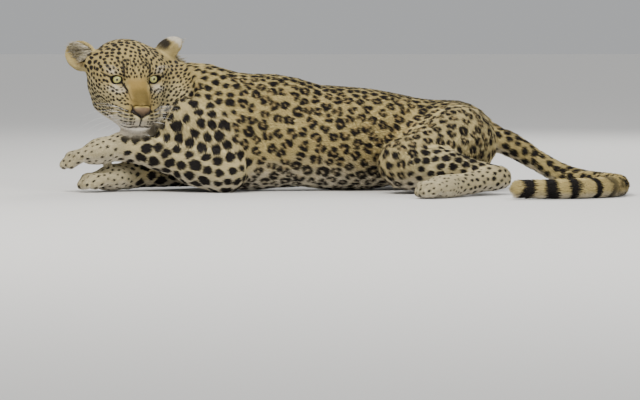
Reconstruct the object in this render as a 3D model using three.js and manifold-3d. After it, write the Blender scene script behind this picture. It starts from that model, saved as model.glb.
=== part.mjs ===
// A leopard at life size, lying on its belly with its chin on its crossed forepaws, face turned
// to the viewer, one hind leg loose at its side and the tail laid round on the floor.
// Millimetres. +X runs from head to tail, -Y is the side that faces the viewer, +Z is up, floor at 0.
// The flesh is one field of distances: bones and muscles are tapered bars and egg shapes that
// blend into each other. Closed surfaces are wrapped round it and parted with thin cuts.
import * as THREE from "three";
import { mergeVertices } from "three/addons/utils/BufferGeometryUtils.js";
import Module from "manifold-3d";

const wasm = await Module();
wasm.setup();

// Driving sizes
const SEAM_GAP = 0.35; // between two parts that meet
const CLEARANCE = 0.5; // round a part that lies on another
const BODY_HALF_WIDTH = 98;
const CHEST_DEPTH = 260;
const LOIN_DEPTH = 234;
const TAIL_RADIUS = 25;
const EYE_RADIUS = 17;
const EYE_SPREAD = 41; // from the middle of the face to the centre of each eye
const HEAD_TURN = 20; // degrees, past square-on to the viewer
const HEAD_NOD = 24; // degrees, face tipped down

const v = (x, y, z) => new THREE.Vector3(x, y, z);

// Joints of the skeleton
const JOINT = {
  neckRoot: v(-282, -4, 208),
  nape: v(-386, 44, 238),
  skullBase: v(-448, 38, 270),
  eyes: v(-424, -76, 260),
  loin: v(60, 8, 113),
  pelvis: v(300, 37, 118),
  shoulderLeft: v(-288, -66, 156),
  bladeLeft: v(-214, -38, 206),
  elbowLeft: v(-222, -108, 54),
  wristLeft: v(-446, -84, 104),
  shoulderRight: v(-300, 30, 156),
  bladeRight: v(-226, 4, 208),
  elbowRight: v(-252, 90, 50),
  wristRight: v(-436, -22, 36),
  hipLeft: v(318, -44, 113),
  kneeLeft: v(186, -170, 68),
  hockLeft: v(396, -206, 41),
  ballLeft: v(292, -318, 24),
  hipRight: v(318, 98, 114),
  kneeRight: v(158, 160, 80),
  hockRight: v(348, 204, 40),
  ballRight: v(196, 246, 24),
};

// Middle line of the tail, from inside the rump to the tip
const TAIL_LINE = new THREE.CatmullRomCurve3([
  v(350, 42, 130),
  v(386, 40, 124),
  v(440, 30, 103),
  v(494, 12, 71),
  v(548, -12, 41),
  v(602, -52, 25),
  v(648, -124, 22),
  v(668, -215, 22),
  v(648, -306, 22),
  v(590, -370, 22),
  v(515, -402, 22),
  v(438, -405, 22),
]);

// Fields. Each gives the distance to its surface, below zero inside, and its box.

const grown = (box, by) => box.clone().expandByScalar(by);

// A limb segment: a bar whose radius runs from one end to the other. `across` and `width` make
// its section oval: wider or narrower than the radius along that direction.
function bar(from, to, radiusFrom, radiusTo, across = null, width = 1) {
  const axis = to.clone().sub(from);
  const length2 = Math.max(axis.lengthSq(), 1e-9);
  const a = across ? across.clone().normalize() : v(0, 0, 0);
  const squeeze = 1 / width - 1;
  const field = (x, y, z) => {
    const px = x - from.x;
    const py = y - from.y;
    const pz = z - from.z;
    const share = Math.min(1, Math.max(0, (px * axis.x + py * axis.y + pz * axis.z) / length2));
    let dx = px - axis.x * share;
    let dy = py - axis.y * share;
    let dz = pz - axis.z * share;
    const along = (dx * a.x + dy * a.y + dz * a.z) * squeeze;
    dx += a.x * along;
    dy += a.y * along;
    dz += a.z * along;
    return Math.hypot(dx, dy, dz) - (radiusFrom + (radiusTo - radiusFrom) * share);
  };
  const reach = Math.max(radiusFrom, radiusTo) * Math.max(1, width);
  field.box = grown(new THREE.Box3().setFromPoints([from, to]), reach);
  return field;
}

// An egg shape with three radii, turned by angles in degrees about Z and then Y.
function egg(centre, radii, turnZ = 0, turnY = 0) {
  const [aboutY, aboutZ] = [turnY, turnZ].map(THREE.MathUtils.degToRad);
  const turn = new THREE.Euler(0, aboutY, aboutZ, "ZYX");
  const back = new THREE.Matrix4().makeRotationFromEuler(turn).transpose().elements;
  const [rx, ry, rz] = radii;
  const field = (x, y, z) => {
    const px = x - centre.x;
    const py = y - centre.y;
    const pz = z - centre.z;
    const lx = back[0] * px + back[4] * py + back[8] * pz;
    const ly = back[1] * px + back[5] * py + back[9] * pz;
    const lz = back[2] * px + back[6] * py + back[10] * pz;
    const near = Math.hypot(lx / rx, ly / ry, lz / rz);
    const slope = Math.hypot(lx / (rx * rx), ly / (ry * ry), lz / (rz * rz));
    return slope < 1e-9 ? -Math.min(rx, ry, rz) : (near * (near - 1)) / slope;
  };
  field.box = grown(new THREE.Box3(centre.clone(), centre.clone()), Math.max(rx, ry, rz));
  if (!turnZ && !turnY) field.box = new THREE.Box3(v(-rx, -ry, -rz), v(rx, ry, rz)).translate(centre);
  return field;
}

// The smaller of two distances, rounded off over a width of `soft`.
function blend(a, b, soft) {
  const h = Math.max(soft - Math.abs(a - b), 0) / soft;
  return Math.min(a, b) - h * h * soft * 0.25;
}

function fuse(soft, ...fields) {
  const made = (x, y, z) => {
    let d = fields[0](x, y, z);
    for (let i = 1; i < fields.length; i++) d = blend(d, fields[i](x, y, z), soft);
    return d;
  };
  made.box = fields.reduce((box, f) => box.union(f.box), new THREE.Box3());
  return made;
}

function carve(field, cutter, soft) {
  const made = (x, y, z) => -blend(-field(x, y, z), cutter(x, y, z), soft);
  made.box = field.box;
  return made;
}

// A field made in a limb's or the head's own frame, seen from the body's frame.
function placed(frame, field) {
  const e = frame.clone().invert().elements;
  const made = (x, y, z) =>
    field(
      e[0] * x + e[4] * y + e[8] * z + e[12],
      e[1] * x + e[5] * y + e[9] * z + e[13],
      e[2] * x + e[6] * y + e[10] * z + e[14],
    );
  made.box = field.box.clone().applyMatrix4(frame);
  return made;
}

// A field made for x > 0, mirrored to both sides.
function bothSides(field) {
  const made = (x, y, z) => field(Math.abs(x), y, z);
  const reach = Math.max(-field.box.min.x, field.box.max.x);
  const { min, max } = field.box;
  made.box = new THREE.Box3(v(-reach, min.y, min.z), v(reach, max.y, max.z));
  return made;
}

// A frame at `origin` whose y axis points along `forward`, with z as near to `up` as it can be.
function frameAt(origin, forward, up) {
  const y = forward.clone().normalize();
  const x = y.clone().cross(up).normalize();
  const z = x.clone().cross(y);
  return new THREE.Matrix4().makeBasis(x, y, z).setPosition(origin);
}

// Trunk and neck.

const torso = fuse(
  46,
  egg(v(-170, -22, CHEST_DEPTH / 2 - 3), [176, BODY_HALF_WIDTH - 4, CHEST_DEPTH / 2], 7),
  egg(v(-298, -26, 118), [88, 70, 96], 7),
  egg(JOINT.loin, [236, BODY_HALF_WIDTH + 2, LOIN_DEPTH / 2], 7),
  egg(JOINT.pelvis, [103, 92, 78], 7),
  bar(v(-250, -22, 212), v(-80, -12, 202), 56, 50),
  bar(v(-100, -14, 194), v(290, 37, 136), 56, 57),
);

const neck = fuse(
  40,
  bar(JOINT.neckRoot, JOINT.nape, 78, 70, v(0.3, 1, 0), 0.88),
  bar(JOINT.nape, JOINT.skullBase, 70, 60, v(0.6, 0.8, 0), 0.9),
  bar(v(-304, -14, 146), v(-404, 6, 196), 64, 54),
);

// Head, in its own frame: x to its right, y out of the face, z up, origin between the eyes.

const turn = THREE.MathUtils.degToRad(HEAD_TURN);
const nod = THREE.MathUtils.degToRad(HEAD_NOD);
const HEAD = frameAt(
  JOINT.eyes,
  v(Math.sin(turn) * Math.cos(nod), -Math.cos(turn) * Math.cos(nod), -Math.sin(nod)),
  v(0, 0, 1),
);
const EYE_CENTRE = v(EYE_SPREAD, 0, 0);
const NOSE_CENTRE = v(0, 85, -45);
const LIP_HEIGHT = -82; // of the mouth line below the eyes
const EYE_SLANT = THREE.MathUtils.degToRad(16);

function headField() {
  const skull = fuse(
    30,
    egg(v(0, -70, 2), [76, 74, 53]),
    egg(v(0, -22, 18), [50, 50, 29]),
    egg(v(50, -42, -32), [42, 54, 52]),
    egg(v(56, -26, 2), [27, 34, 30]),
    egg(v(46, -2, -24), [28, 36, 26]),
    egg(v(25, 18, -44), [37, 48, 38]),
    egg(v(0, -36, -74), [48, 60, 40]),
  );
  const muzzle = fuse(
    16,
    bar(v(0, -10, 4), v(0, 72, -36), 27, 19, v(1, 0, 0), 1.14),
    egg(v(25, 61, -61), [28, 34, 26]),
    egg(v(0, 72, -60), [18, 24, 22]),
  );
  const jaw = fuse(
    18,
    egg(v(0, 60, -92), [35, 30, 19]),
    bar(v(15, 44, -91), v(44, -44, -78), 19, 32),
  );
  const brow = egg(v(35, 2, 20), [24, 13, 8], -14);
  const lids = egg(EYE_CENTRE.clone().add(v(0, -1, 0)), [EYE_RADIUS + 6, EYE_RADIUS + 4, EYE_RADIUS + 3.5]);
  const eyeOpening = egg(v(0, 16, 1), [14, 22, 9.2]);
  const eyeFrame = new THREE.Matrix4()
    .makeRotationY(EYE_SLANT)
    .premultiply(new THREE.Matrix4().makeRotationZ(THREE.MathUtils.degToRad(-12)))
    .setPosition(EYE_CENTRE);
  const face = fuse(14, fuse(20, skull, muzzle), jaw, brow);
  const dished = carve(face, egg(v(EYE_SPREAD + 1, 27, 1), [16, 13, 11]), 14);
  const lidded = carve(fuse(8, dished, lids), placed(eyeFrame, eyeOpening), 2.5);
  const lips = bar(v(10, 92, LIP_HEIGHT - 1), v(40, 40, LIP_HEIGHT + 4), 3, 3);
  const philtrum = bar(v(0, 96, -60), v(0, 92, LIP_HEIGHT), 2.5, 2.5);
  const earSeat = bar(v(66, -66, 6), v(80, -68, 6), 27, 22);
  return bothSides(carve(carve(fuse(20, lidded, earSeat), lips, 4), philtrum, 4));
}
const headShape = headField();
const head = placed(HEAD, headShape);

const nose = placed(
  HEAD,
  bothSides(
    carve(
      fuse(
        8,
        egg(NOSE_CENTRE.clone().add(v(9, 1, 4)), [12, 11, 9]),
        egg(NOSE_CENTRE.clone().add(v(0, 4, -1)), [9, 11, 13]),
        egg(NOSE_CENTRE.clone().add(v(15, -4, -1)), [7, 9, 7]),
      ),
      bar(NOSE_CENTRE.clone().add(v(8, 18, -2)), NOSE_CENTRE.clone().add(v(19, 8, -3)), 3, 2.2),
      3,
    ),
  ),
);

// An ear in its own frame: z to its tip, y out of the cup, origin at the middle of its root.
const EAR_HEIGHT = 66;
const EAR_HALF_WIDTH = 33;
const EAR_WALL = 5;
function earField() {
  const back = egg(v(0, -10, EAR_HEIGHT * 0.36), [EAR_HALF_WIDTH, 27, EAR_HEIGHT * 0.62]);
  const middle = v(0, -10 + EAR_WALL + 15, EAR_HEIGHT * 0.46);
  const hollow = egg(middle, [EAR_HALF_WIDTH - 4, 32, EAR_HEIGHT * 0.58]);
  return carve(back, hollow, 5);
}
const EAR_FRAME = {
  right: frameAt(v(88, -68, 10).applyMatrix4(HEAD), v(-0.1, -0.95, 0.2), v(-0.8, 0.2, 0.56)),
  left: frameAt(v(-92, -72, 8).applyMatrix4(HEAD), v(0.51, 0.35, -0.785), v(0.66, 0.46, 0.6)),
};

// Legs.

const upperArm = {
  left: fuse(
    34,
    bar(JOINT.bladeLeft, JOINT.shoulderLeft, 40, 48),
    bar(JOINT.shoulderLeft, JOINT.elbowLeft, 50, 48),
    egg(v(-232, -92, 118), [56, 38, 66], 8, -20),
    egg(v(-322, -94, 122), [46, 31, 52], 0, 12),
  ),
  right: fuse(
    34,
    bar(JOINT.bladeRight, JOINT.shoulderRight, 40, 50),
    bar(JOINT.shoulderRight, JOINT.elbowRight, 52, 44),
  ),
};
const forearm = {
  left: fuse(
    20,
    bar(JOINT.elbowLeft, JOINT.wristLeft, 47, 30, v(0, 0, 1), 1.08),
    bar(JOINT.elbowLeft.clone().add(v(14, 2, -6)), JOINT.elbowLeft.clone().add(v(-60, 0, 4)), 44, 44),
  ),
  right: fuse(20, bar(JOINT.elbowRight, JOINT.wristRight, 44, 29, v(0, 0, 1), 1.05)),
};
const thigh = {
  left: fuse(
    36,
    bar(JOINT.hipLeft, JOINT.kneeLeft, 76, 54),
    egg(v(328, -66, 102), [70, 62, 81], 20),
    bar(v(300, -90, 84), v(222, -160, 66), 66, 52),
  ),
  right: fuse(
    36,
    bar(JOINT.hipRight, JOINT.kneeRight, 74, 52),
    egg(v(334, 104, 100), [68, 56, 78], -10),
  ),
};
const calfLeft = v(286, -192, 54);
const calfRight = v(252, 184, 56);
const shank = {
  left: fuse(18, bar(JOINT.kneeLeft, calfLeft, 54, 44), bar(calfLeft, JOINT.hockLeft, 44, 25)),
  right: fuse(18, bar(JOINT.kneeRight, calfRight, 50, 42), bar(calfRight, JOINT.hockRight, 42, 25)),
};
const foot = {
  left: fuse(
    12,
    bar(JOINT.hockLeft.clone().add(v(10, 8, -4)), JOINT.hockLeft.clone().add(v(-14, -16, -4)), 25, 25),
    bar(JOINT.hockLeft.clone().add(v(-6, -8, -5)), JOINT.ballLeft, 26, 25),
  ),
  right: fuse(
    12,
    bar(JOINT.hockRight.clone().add(v(12, -2, -4)), JOINT.hockRight.clone().add(v(-20, 4, -4)), 25, 25),
    bar(JOINT.hockRight.clone().add(v(-8, 2, -5)), JOINT.ballRight, 26, 25),
  ),
};

// A paw in its own frame: origin at the wrist or the ball, y to the toes, z up, four toes.
function pawField({ length, halfWidth, wristRadius, droop }) {
  const knuckle = length * 0.52;
  const toes = [-0.78, -0.27, 0.27, 0.78].map((side) => {
    const inner = Math.abs(side) < 0.5;
    const x = side * (halfWidth - 13);
    const root = v(x, knuckle - (inner ? 0 : 9), 2 - droop * 0.4);
    const joint = v(x * 1.06, length * (inner ? 0.78 : 0.7), 1 - droop * 0.75);
    const tip = v(x * 1.04, length * (inner ? 0.9 : 0.81), -7 - droop);
    return fuse(5, bar(root, joint, 15, 15), bar(joint, tip, 15, 12));
  });
  return fuse(
    4,
    fuse(
      22,
      bar(v(0, 0, 0), v(0, knuckle * 0.7, -droop * 0.25), wristRadius, wristRadius * 0.92, v(1, 0, 0), 1.1),
      bar(
        v(0, knuckle * 0.6, -2 - droop * 0.25),
        v(0, knuckle, -4 - droop * 0.4),
        23,
        21,
        v(1, 0, 0),
        halfWidth / 24,
      ),
    ),
    ...toes,
  );
}
const PAW_FRAME = {
  frontLeft: frameAt(JOINT.wristLeft, v(-1, -0.1, -0.06), v(-0.05, 0, 1)),
  frontRight: frameAt(JOINT.wristRight, v(-0.72, -0.69, -0.03), v(0, 0, 1)),
  hindLeft: frameAt(JOINT.ballLeft, v(-0.66, -0.75, -0.02), v(0, 0, 1)),
  hindRight: frameAt(JOINT.ballRight, v(-0.96, 0.28, -0.02), v(0, 0, 1)),
};
const frontPaw = { length: 152, halfWidth: 42, wristRadius: 30, droop: 8 };
const hindPaw = { length: 112, halfWidth: 37, wristRadius: 25, droop: 2 };
const paw = {
  frontLeft: placed(PAW_FRAME.frontLeft, pawField({ ...frontPaw, droop: 26 })),
  frontRight: placed(PAW_FRAME.frontRight, pawField(frontPaw)),
  hindLeft: placed(PAW_FRAME.hindLeft, pawField(hindPaw)),
  hindRight: placed(PAW_FRAME.hindRight, pawField(hindPaw)),
};

// Tail.

const TAIL_STEPS = 26;
function tailField() {
  const points = TAIL_LINE.getSpacedPoints(TAIL_STEPS);
  const flare = (share) => 11 * Math.max(0, 1 - share * 5);
  const taper = (share) => 3 * Math.max(0, share * 4 - 3);
  const radiusAt = (share) => TAIL_RADIUS + flare(share) - taper(share);
  const lengths = points.slice(1).map((to, i) =>
    bar(points[i], to, radiusAt(i / TAIL_STEPS), radiusAt((i + 1) / TAIL_STEPS)),
  );
  const made = (x, y, z) => {
    let nearest = Infinity;
    for (const length of lengths) nearest = Math.min(nearest, length(x, y, z));
    return nearest;
  };
  made.box = lengths.reduce((box, f) => box.union(f.box), new THREE.Box3());
  return made;
}
const tail = tailField();

// Surfaces: one is wrapped round a field, and then thinned.

// Wraps a closed surface round the inside of a field within a box of the given frame: one point
// for each cell of a grid that the surface crosses, joined across each crossed grid edge.
function wrap(field, box, cell, frame = new THREE.Matrix4()) {
  const size = box.getSize(v(0, 0, 0));
  const [nx, ny, nz] = [size.x, size.y, size.z].map((s) => Math.ceil(s / cell) + 1);
  const start = box.getCenter(v(0, 0, 0)).sub(v(nx - 1, ny - 1, nz - 1).multiplyScalar(cell / 2));
  const at = (i, j, k) => (k * ny + j) * nx + i;
  const values = new Float64Array(nx * ny * nz);
  const p = v(0, 0, 0);
  for (let k = 0; k < nz; k++)
    for (let j = 0; j < ny; j++)
      for (let i = 0; i < nx; i++) {
        const low = i === 0 || j === 0 || k === 0;
        const edge = low || i === nx - 1 || j === ny - 1 || k === nz - 1;
        p.set(start.x + i * cell, start.y + j * cell, start.z + k * cell).applyMatrix4(frame);
        const value = field(p.x, p.y, p.z);
        values[at(i, j, k)] = edge ? Math.max(value, cell * 0.3) : value;
      }
  const cornerSteps = [0, 1].flatMap((k) => [0, 1].flatMap((j) => [0, 1].map((i) => [i, j, k])));
  const edges = [];
  cornerSteps.forEach((a, m) =>
    cornerSteps.forEach((b, n) => {
      const apart = a.reduce((sum, value, c) => sum + Math.abs(value - b[c]), 0);
      if (n > m && apart === 1) edges.push([a, b]);
    }),
  );
  const vertex = new Int32Array(nx * ny * nz).fill(-1);
  const points = [];
  for (let k = 0; k < nz - 1; k++)
    for (let j = 0; j < ny - 1; j++)
      for (let i = 0; i < nx - 1; i++) {
        let crossings = 0;
        let [sx, sy, sz] = [0, 0, 0];
        for (const [a, b] of edges) {
          const va = values[at(i + a[0], j + a[1], k + a[2])];
          const vb = values[at(i + b[0], j + b[1], k + b[2])];
          if (va < 0 === vb < 0) continue;
          const t = va / (va - vb);
          sx += a[0] + (b[0] - a[0]) * t;
          sy += a[1] + (b[1] - a[1]) * t;
          sz += a[2] + (b[2] - a[2]) * t;
          crossings++;
        }
        if (!crossings) continue;
        vertex[at(i, j, k)] = points.length / 3;
        p.set(i + sx / crossings, j + sy / crossings, k + sz / crossings);
        p.multiplyScalar(cell).add(start).applyMatrix4(frame);
        points.push(p.x, p.y, p.z);
      }
  const faces = [];
  const distance2 = (a, b) =>
    [0, 1, 2].reduce((sum, c) => sum + (points[3 * a + c] - points[3 * b + c]) ** 2, 0);
  const quad = (a, b, c, d, flip) => {
    const q = flip ? [a, d, c, b] : [a, b, c, d];
    if (distance2(q[0], q[2]) < distance2(q[1], q[3])) {
      faces.push(q[0], q[1], q[2], q[0], q[2], q[3]);
    } else {
      faces.push(q[1], q[2], q[3], q[1], q[3], q[0]);
    }
  };
  for (let k = 0; k < nz - 1; k++)
    for (let j = 0; j < ny - 1; j++)
      for (let i = 0; i < nx - 1; i++) {
        const inside = values[at(i, j, k)] < 0;
        const cellAt = (di, dj, dk) => vertex[at(i - di, j - dj, k - dk)];
        if (j && k && inside !== values[at(i + 1, j, k)] < 0)
          quad(cellAt(0, 1, 1), cellAt(0, 0, 1), cellAt(0, 0, 0), cellAt(0, 1, 0), !inside);
        if (i && k && inside !== values[at(i, j + 1, k)] < 0)
          quad(cellAt(1, 0, 1), cellAt(1, 0, 0), cellAt(0, 0, 0), cellAt(0, 0, 1), !inside);
        if (i && j && inside !== values[at(i, j, k + 1)] < 0)
          quad(cellAt(1, 1, 0), cellAt(0, 1, 0), cellAt(0, 0, 0), cellAt(1, 0, 0), !inside);
      }
  return { points, faces };
}

// Collapses the edges that change the surface least, in rounds of growing tolerance up to `most`,
// until `target` triangles are left. Each point keeps the planes of the faces it has stood for.
function thin({ points, faces }, target, most = 1e4) {
  const count = points.length / 3;
  const planes = new Float64Array(count * 10);
  const around = Array.from({ length: count }, () => new Set());
  const corner = (f, c) => faces[3 * f + c];
  const point = (i) => v(points[3 * i], points[3 * i + 1], points[3 * i + 2]);
  const normalOf = (a, b, c) => b.clone().sub(a).cross(c.clone().sub(a));
  const alive = new Uint8Array(faces.length / 3).fill(1);
  let left = alive.length;
  for (let f = 0; f < left; f++) {
    const n = normalOf(point(corner(f, 0)), point(corner(f, 1)), point(corner(f, 2))).normalize();
    const d = -n.dot(point(corner(f, 0)));
    const q = [
      n.x * n.x, n.x * n.y, n.x * n.z, n.x * d, n.y * n.y,
      n.y * n.z, n.y * d, n.z * n.z, n.z * d, d * d,
    ];
    for (let c = 0; c < 3; c++) {
      around[corner(f, c)].add(f);
      q.forEach((value, m) => (planes[corner(f, c) * 10 + m] += value));
    }
  }
  const errorAt = (q, p) =>
    q[0] * p.x * p.x +
    q[4] * p.y * p.y +
    q[7] * p.z * p.z +
    2 * (q[1] * p.x * p.y + q[2] * p.x * p.z + q[5] * p.y * p.z) +
    2 * (q[3] * p.x + q[6] * p.y + q[8] * p.z) +
    q[9];
  const bestPoint = (q, a, b) => {
    const tries = [a, b, a.clone().lerp(b, 0.5)];
    const m = new THREE.Matrix3().set(q[0], q[1], q[2], q[1], q[4], q[5], q[2], q[5], q[7]);
    if (Math.abs(m.determinant()) > 1e-3) {
      const exact = v(-q[3], -q[6], -q[8]).applyMatrix3(m.invert());
      if (exact.distanceTo(tries[2]) < a.distanceTo(b)) tries.push(exact);
    }
    return tries.reduce((best, p) => (errorAt(q, p) < errorAt(q, best) ? p : best));
  };
  const neighbours = (i) => {
    const found = new Set();
    for (const f of around[i]) {
      for (let c = 0; c < 3; c++) if (corner(f, c) !== i) found.add(corner(f, c));
    }
    return found;
  };
  const turnsOver = (i, other, to) => {
    for (const f of around[i]) {
      const ids = [0, 1, 2].map((c) => corner(f, c));
      if (ids.includes(other)) continue;
      const before = normalOf(...ids.map(point));
      const after = normalOf(...ids.map((id) => (id === i ? to : point(id))));
      const least = Math.min(1e-3, before.length());
      const swing = before.dot(after) / (before.length() * after.length() || 1);
      if (after.length() < least || swing < 0.35) return true;
    }
    return false;
  };
  for (let tolerance = Math.min(0.002, most); left > target && tolerance <= most; tolerance *= 1.7) {
    for (let f = 0; f < alive.length && left > target; f++) {
      for (let c = 0; c < 3 && alive[f]; c++) {
        const [i, j] = [corner(f, c), corner(f, (c + 1) % 3)];
        const q = Array.from({ length: 10 }, (_, m) => planes[i * 10 + m] + planes[j * 10 + m]);
        const [a, b] = [point(i), point(j)];
        const to = bestPoint(q, a, b);
        if (errorAt(q, to) + 2e-4 * a.distanceToSquared(b) > tolerance) continue;
        const shared = [...neighbours(i)].filter((n) => neighbours(j).has(n));
        if (shared.length !== 2 || turnsOver(i, j, to) || turnsOver(j, i, to)) continue;
        points[3 * i] = to.x;
        points[3 * i + 1] = to.y;
        points[3 * i + 2] = to.z;
        q.forEach((value, m) => (planes[i * 10 + m] = value));
        for (const g of [...around[j]]) {
          const ids = [0, 1, 2].map((m) => corner(g, m));
          if (ids.includes(i)) {
            alive[g] = 0;
            left--;
            ids.forEach((id) => around[id].delete(g));
          } else {
            ids.forEach((id, m) => id === j && (faces[3 * g + m] = i));
            around[i].add(g);
          }
        }
        around[j].clear();
      }
    }
  }
  const used = new Map();
  const kept = { points: [], faces: [] };
  for (let f = 0; f < alive.length; f++) {
    if (!alive[f]) continue;
    for (let c = 0; c < 3; c++) {
      const id = corner(f, c);
      if (!used.has(id)) {
        used.set(id, used.size);
        kept.points.push(points[3 * id], points[3 * id + 1], points[3 * id + 2]);
      }
      kept.faces.push(used.get(id));
    }
  }
  return kept;
}

// Closed solids for cutting.

function solid({ points, faces }) {
  const [vertProperties, triVerts] = [new Float32Array(points), new Uint32Array(faces)];
  return new wasm.Manifold(new wasm.Mesh({ numProp: 3, vertProperties, triVerts }));
}

const largest = (made) => made.decompose().reduce((a, b) => (b.volume() > a.volume() ? b : a));

function surfaceOf(made) {
  const { numVert, numProp, vertProperties, triVerts } = made.getMesh();
  const points = [];
  for (let i = 0; i < numVert; i++) points.push(...vertProperties.subarray(i * numProp, i * numProp + 3));
  return { points, faces: [...triVerts] };
}

// The same surface with each point moved out by `by`, so that what it cuts keeps clear of it.
function puffed({ points, faces }, by) {
  const geometry = new THREE.BufferGeometry();
  geometry.setAttribute("position", new THREE.Float32BufferAttribute(points, 3));
  geometry.setIndex([...faces]);
  geometry.computeVertexNormals();
  const normals = geometry.attributes.normal.array;
  return { points: points.map((value, i) => value + normals[i] * by), faces };
}

// The same surface with points that lie on each other drawn a little inwards, each to its own
// side, so that nowhere do four faces share one edge.
function unpinched(surface) {
  const inward = puffed(surface, -0.02).points;
  const places = new Map();
  const points = [...surface.points];
  for (let i = 0; i < points.length; i += 3) {
    const key = points.slice(i, i + 3).map((c) => c.toFixed(3)).join();
    places.set(key, [...(places.get(key) ?? []), i]);
  }
  for (const met of places.values()) {
    if (met.length < 2) continue;
    for (const i of met) {
      for (let c = 0; c < 3; c++) points[i + c] = inward[i + c];
    }
  }
  return { points, faces: surface.faces };
}

// Points and faces of a three.js shape, with its doubled corners joined.
function welded(geometry) {
  geometry.deleteAttribute("normal");
  geometry.deleteAttribute("uv");
  const joined = mergeVertices(geometry, 1e-3);
  const index = joined.index.array;
  const faces = [];
  for (let i = 0; i < index.length; i += 3) {
    const [a, b, c] = index.subarray(i, i + 3);
    if (a !== b && b !== c && a !== c) faces.push(a, b, c);
  }
  return { points: [...joined.attributes.position.array], faces };
}

// Everything beyond a plane, as a great box.
function beyond(origin, normal) {
  const side = 3000;
  const frame = frameAt(origin, normal, Math.abs(normal.z) > 0.9 ? v(1, 0, 0) : v(0, 0, 1));
  return welded(new THREE.BoxGeometry(side, side, side).translate(0, side / 2, 0).applyMatrix4(frame));
}

// The parts.

// Where two neighbours meet: how softly they blend, and a plane to part them, or none where
// the seam runs where both are equally near.
const MEETINGS = [
  { parent: "torso", child: "neck", soft: 60, plane: [v(-286, -20, 200), v(-0.93, 0.1, 0.35)] },
  { parent: "neck", child: "head", soft: 32, plane: [v(-328, 0, 240), v(-0.88, -0.46, 0.1)] },
  { parent: "torso", child: "upper_arm_left", soft: 46 },
  { parent: "torso", child: "upper_arm_right", soft: 46 },
  { parent: "neck", child: "upper_arm_left", soft: 40 },
  { parent: "neck", child: "upper_arm_right", soft: 40 },
  { parent: "upper_arm_left", child: "forearm_left", soft: 22 },
  { parent: "upper_arm_right", child: "forearm_right", soft: 30 },
  {
    parent: "forearm_left",
    child: "paw_front_left",
    soft: 16,
    plane: [JOINT.wristLeft, v(-1, -0.05, -0.1)],
  },
  {
    parent: "forearm_right",
    child: "paw_front_right",
    soft: 16,
    plane: [JOINT.wristRight, v(-0.8, -0.58, 0)],
  },
  { parent: "torso", child: "thigh_left", soft: 52 },
  { parent: "torso", child: "thigh_right", soft: 52 },
  { parent: "thigh_left", child: "shank_left", soft: 16 },
  { parent: "thigh_right", child: "shank_right", soft: 16 },
  { parent: "shank_left", child: "foot_left", soft: 10 },
  { parent: "shank_right", child: "foot_right", soft: 10 },
  { parent: "foot_left", child: "paw_hind_left", soft: 12, plane: [JOINT.ballLeft, v(-0.68, -0.73, 0)] },
  { parent: "foot_right", child: "paw_hind_right", soft: 12, plane: [JOINT.ballRight, v(-0.96, 0.27, 0)] },
  { parent: "torso", child: "tail", soft: 26, plane: [v(414, 34, 118), v(0.85, -0.15, -0.45)] },
];

// Each part's field, grid cell, triangles, and the frame that its grid is squared to.
const SHAPES = {
  torso: { field: torso, cell: 11, triangles: 1400 },
  neck: { field: neck, cell: 9, triangles: 420 },
  head: { field: head, cell: 3.2, triangles: 3180, frame: HEAD, box: headShape.box },
  upper_arm_left: { field: upperArm.left, cell: 8, triangles: 420 },
  upper_arm_right: { field: upperArm.right, cell: 8, triangles: 380 },
  forearm_left: { field: forearm.left, cell: 7, triangles: 380 },
  forearm_right: { field: forearm.right, cell: 7, triangles: 320 },
  paw_front_left: { field: paw.frontLeft, cell: 4.4, triangles: 760 },
  paw_front_right: { field: paw.frontRight, cell: 4.4, triangles: 760 },
  thigh_left: { field: thigh.left, cell: 9, triangles: 460 },
  thigh_right: { field: thigh.right, cell: 10, triangles: 380 },
  shank_left: { field: shank.left, cell: 7, triangles: 320 },
  shank_right: { field: shank.right, cell: 7, triangles: 280 },
  foot_left: { field: foot.left, cell: 6, triangles: 240 },
  foot_right: { field: foot.right, cell: 6, triangles: 240 },
  paw_hind_left: { field: paw.hindLeft, cell: 4.2, triangles: 640 },
  paw_hind_right: { field: paw.hindRight, cell: 4.2, triangles: 640 },
  tail: { field: tail, cell: 7, triangles: 1000 },
};

const GRID_MARGIN = 26; // past a part's own box, so that the cuts trim what its grid clips

function fleshOf(name) {
  const own = SHAPES[name].field;
  const links = MEETINGS.filter((m) => m.parent === name || m.child === name).map((m) => {
    const other = SHAPES[m.parent === name ? m.child : m.parent].field;
    return { other, soft: m.soft, reach: grown(other.box, m.soft) };
  });
  const p = v(0, 0, 0);
  return (x, y, z) => {
    const mine = own(x, y, z);
    let all = mine;
    for (const { other, soft, reach } of links) {
      if (mine > soft * 2 || !reach.containsPoint(p.set(x, y, z))) continue;
      all = Math.min(all, blend(mine, other(x, y, z), soft));
    }
    return all;
  };
}

// The solid that a child keeps, and the slightly larger one that its parent gives up.
function seamOf({ parent, child, plane }) {
  if (plane) return planeSeam(...plane);
  const [inner, outer] = [SHAPES[child].field, SHAPES[parent].field];
  const side = (x, y, z) => {
    const mine = inner(x, y, z);
    return Math.max((mine - outer(x, y, z)) * 0.5, mine - GRID_MARGIN - 8);
  };
  const surface = thin(wrap(side, grown(inner.box, GRID_MARGIN + 20), 11), 260);
  return [solid(surface), solid(puffed(surface, SEAM_GAP))];
}

const planeSeam = (origin, normal) => {
  const nearer = origin.clone().addScaledVector(normal.clone().normalize(), -SEAM_GAP);
  return [solid(beyond(origin, normal)), solid(beyond(nearer, normal))];
};

function makeSolids() {
  const made = {};
  for (const [name, shape] of Object.entries(SHAPES)) {
    const box = grown(shape.box ?? shape.field.box, GRID_MARGIN);
    made[name] = largest(solid(thin(wrap(fleshOf(name), box, shape.cell, shape.frame), shape.triangles)));
  }
  for (const meeting of MEETINGS) {
    const [kept, given] = seamOf(meeting);
    made[meeting.child] = largest(made[meeting.child].intersect(kept));
    made[meeting.parent] = largest(made[meeting.parent].subtract(given));
  }
  return made;
}

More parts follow.
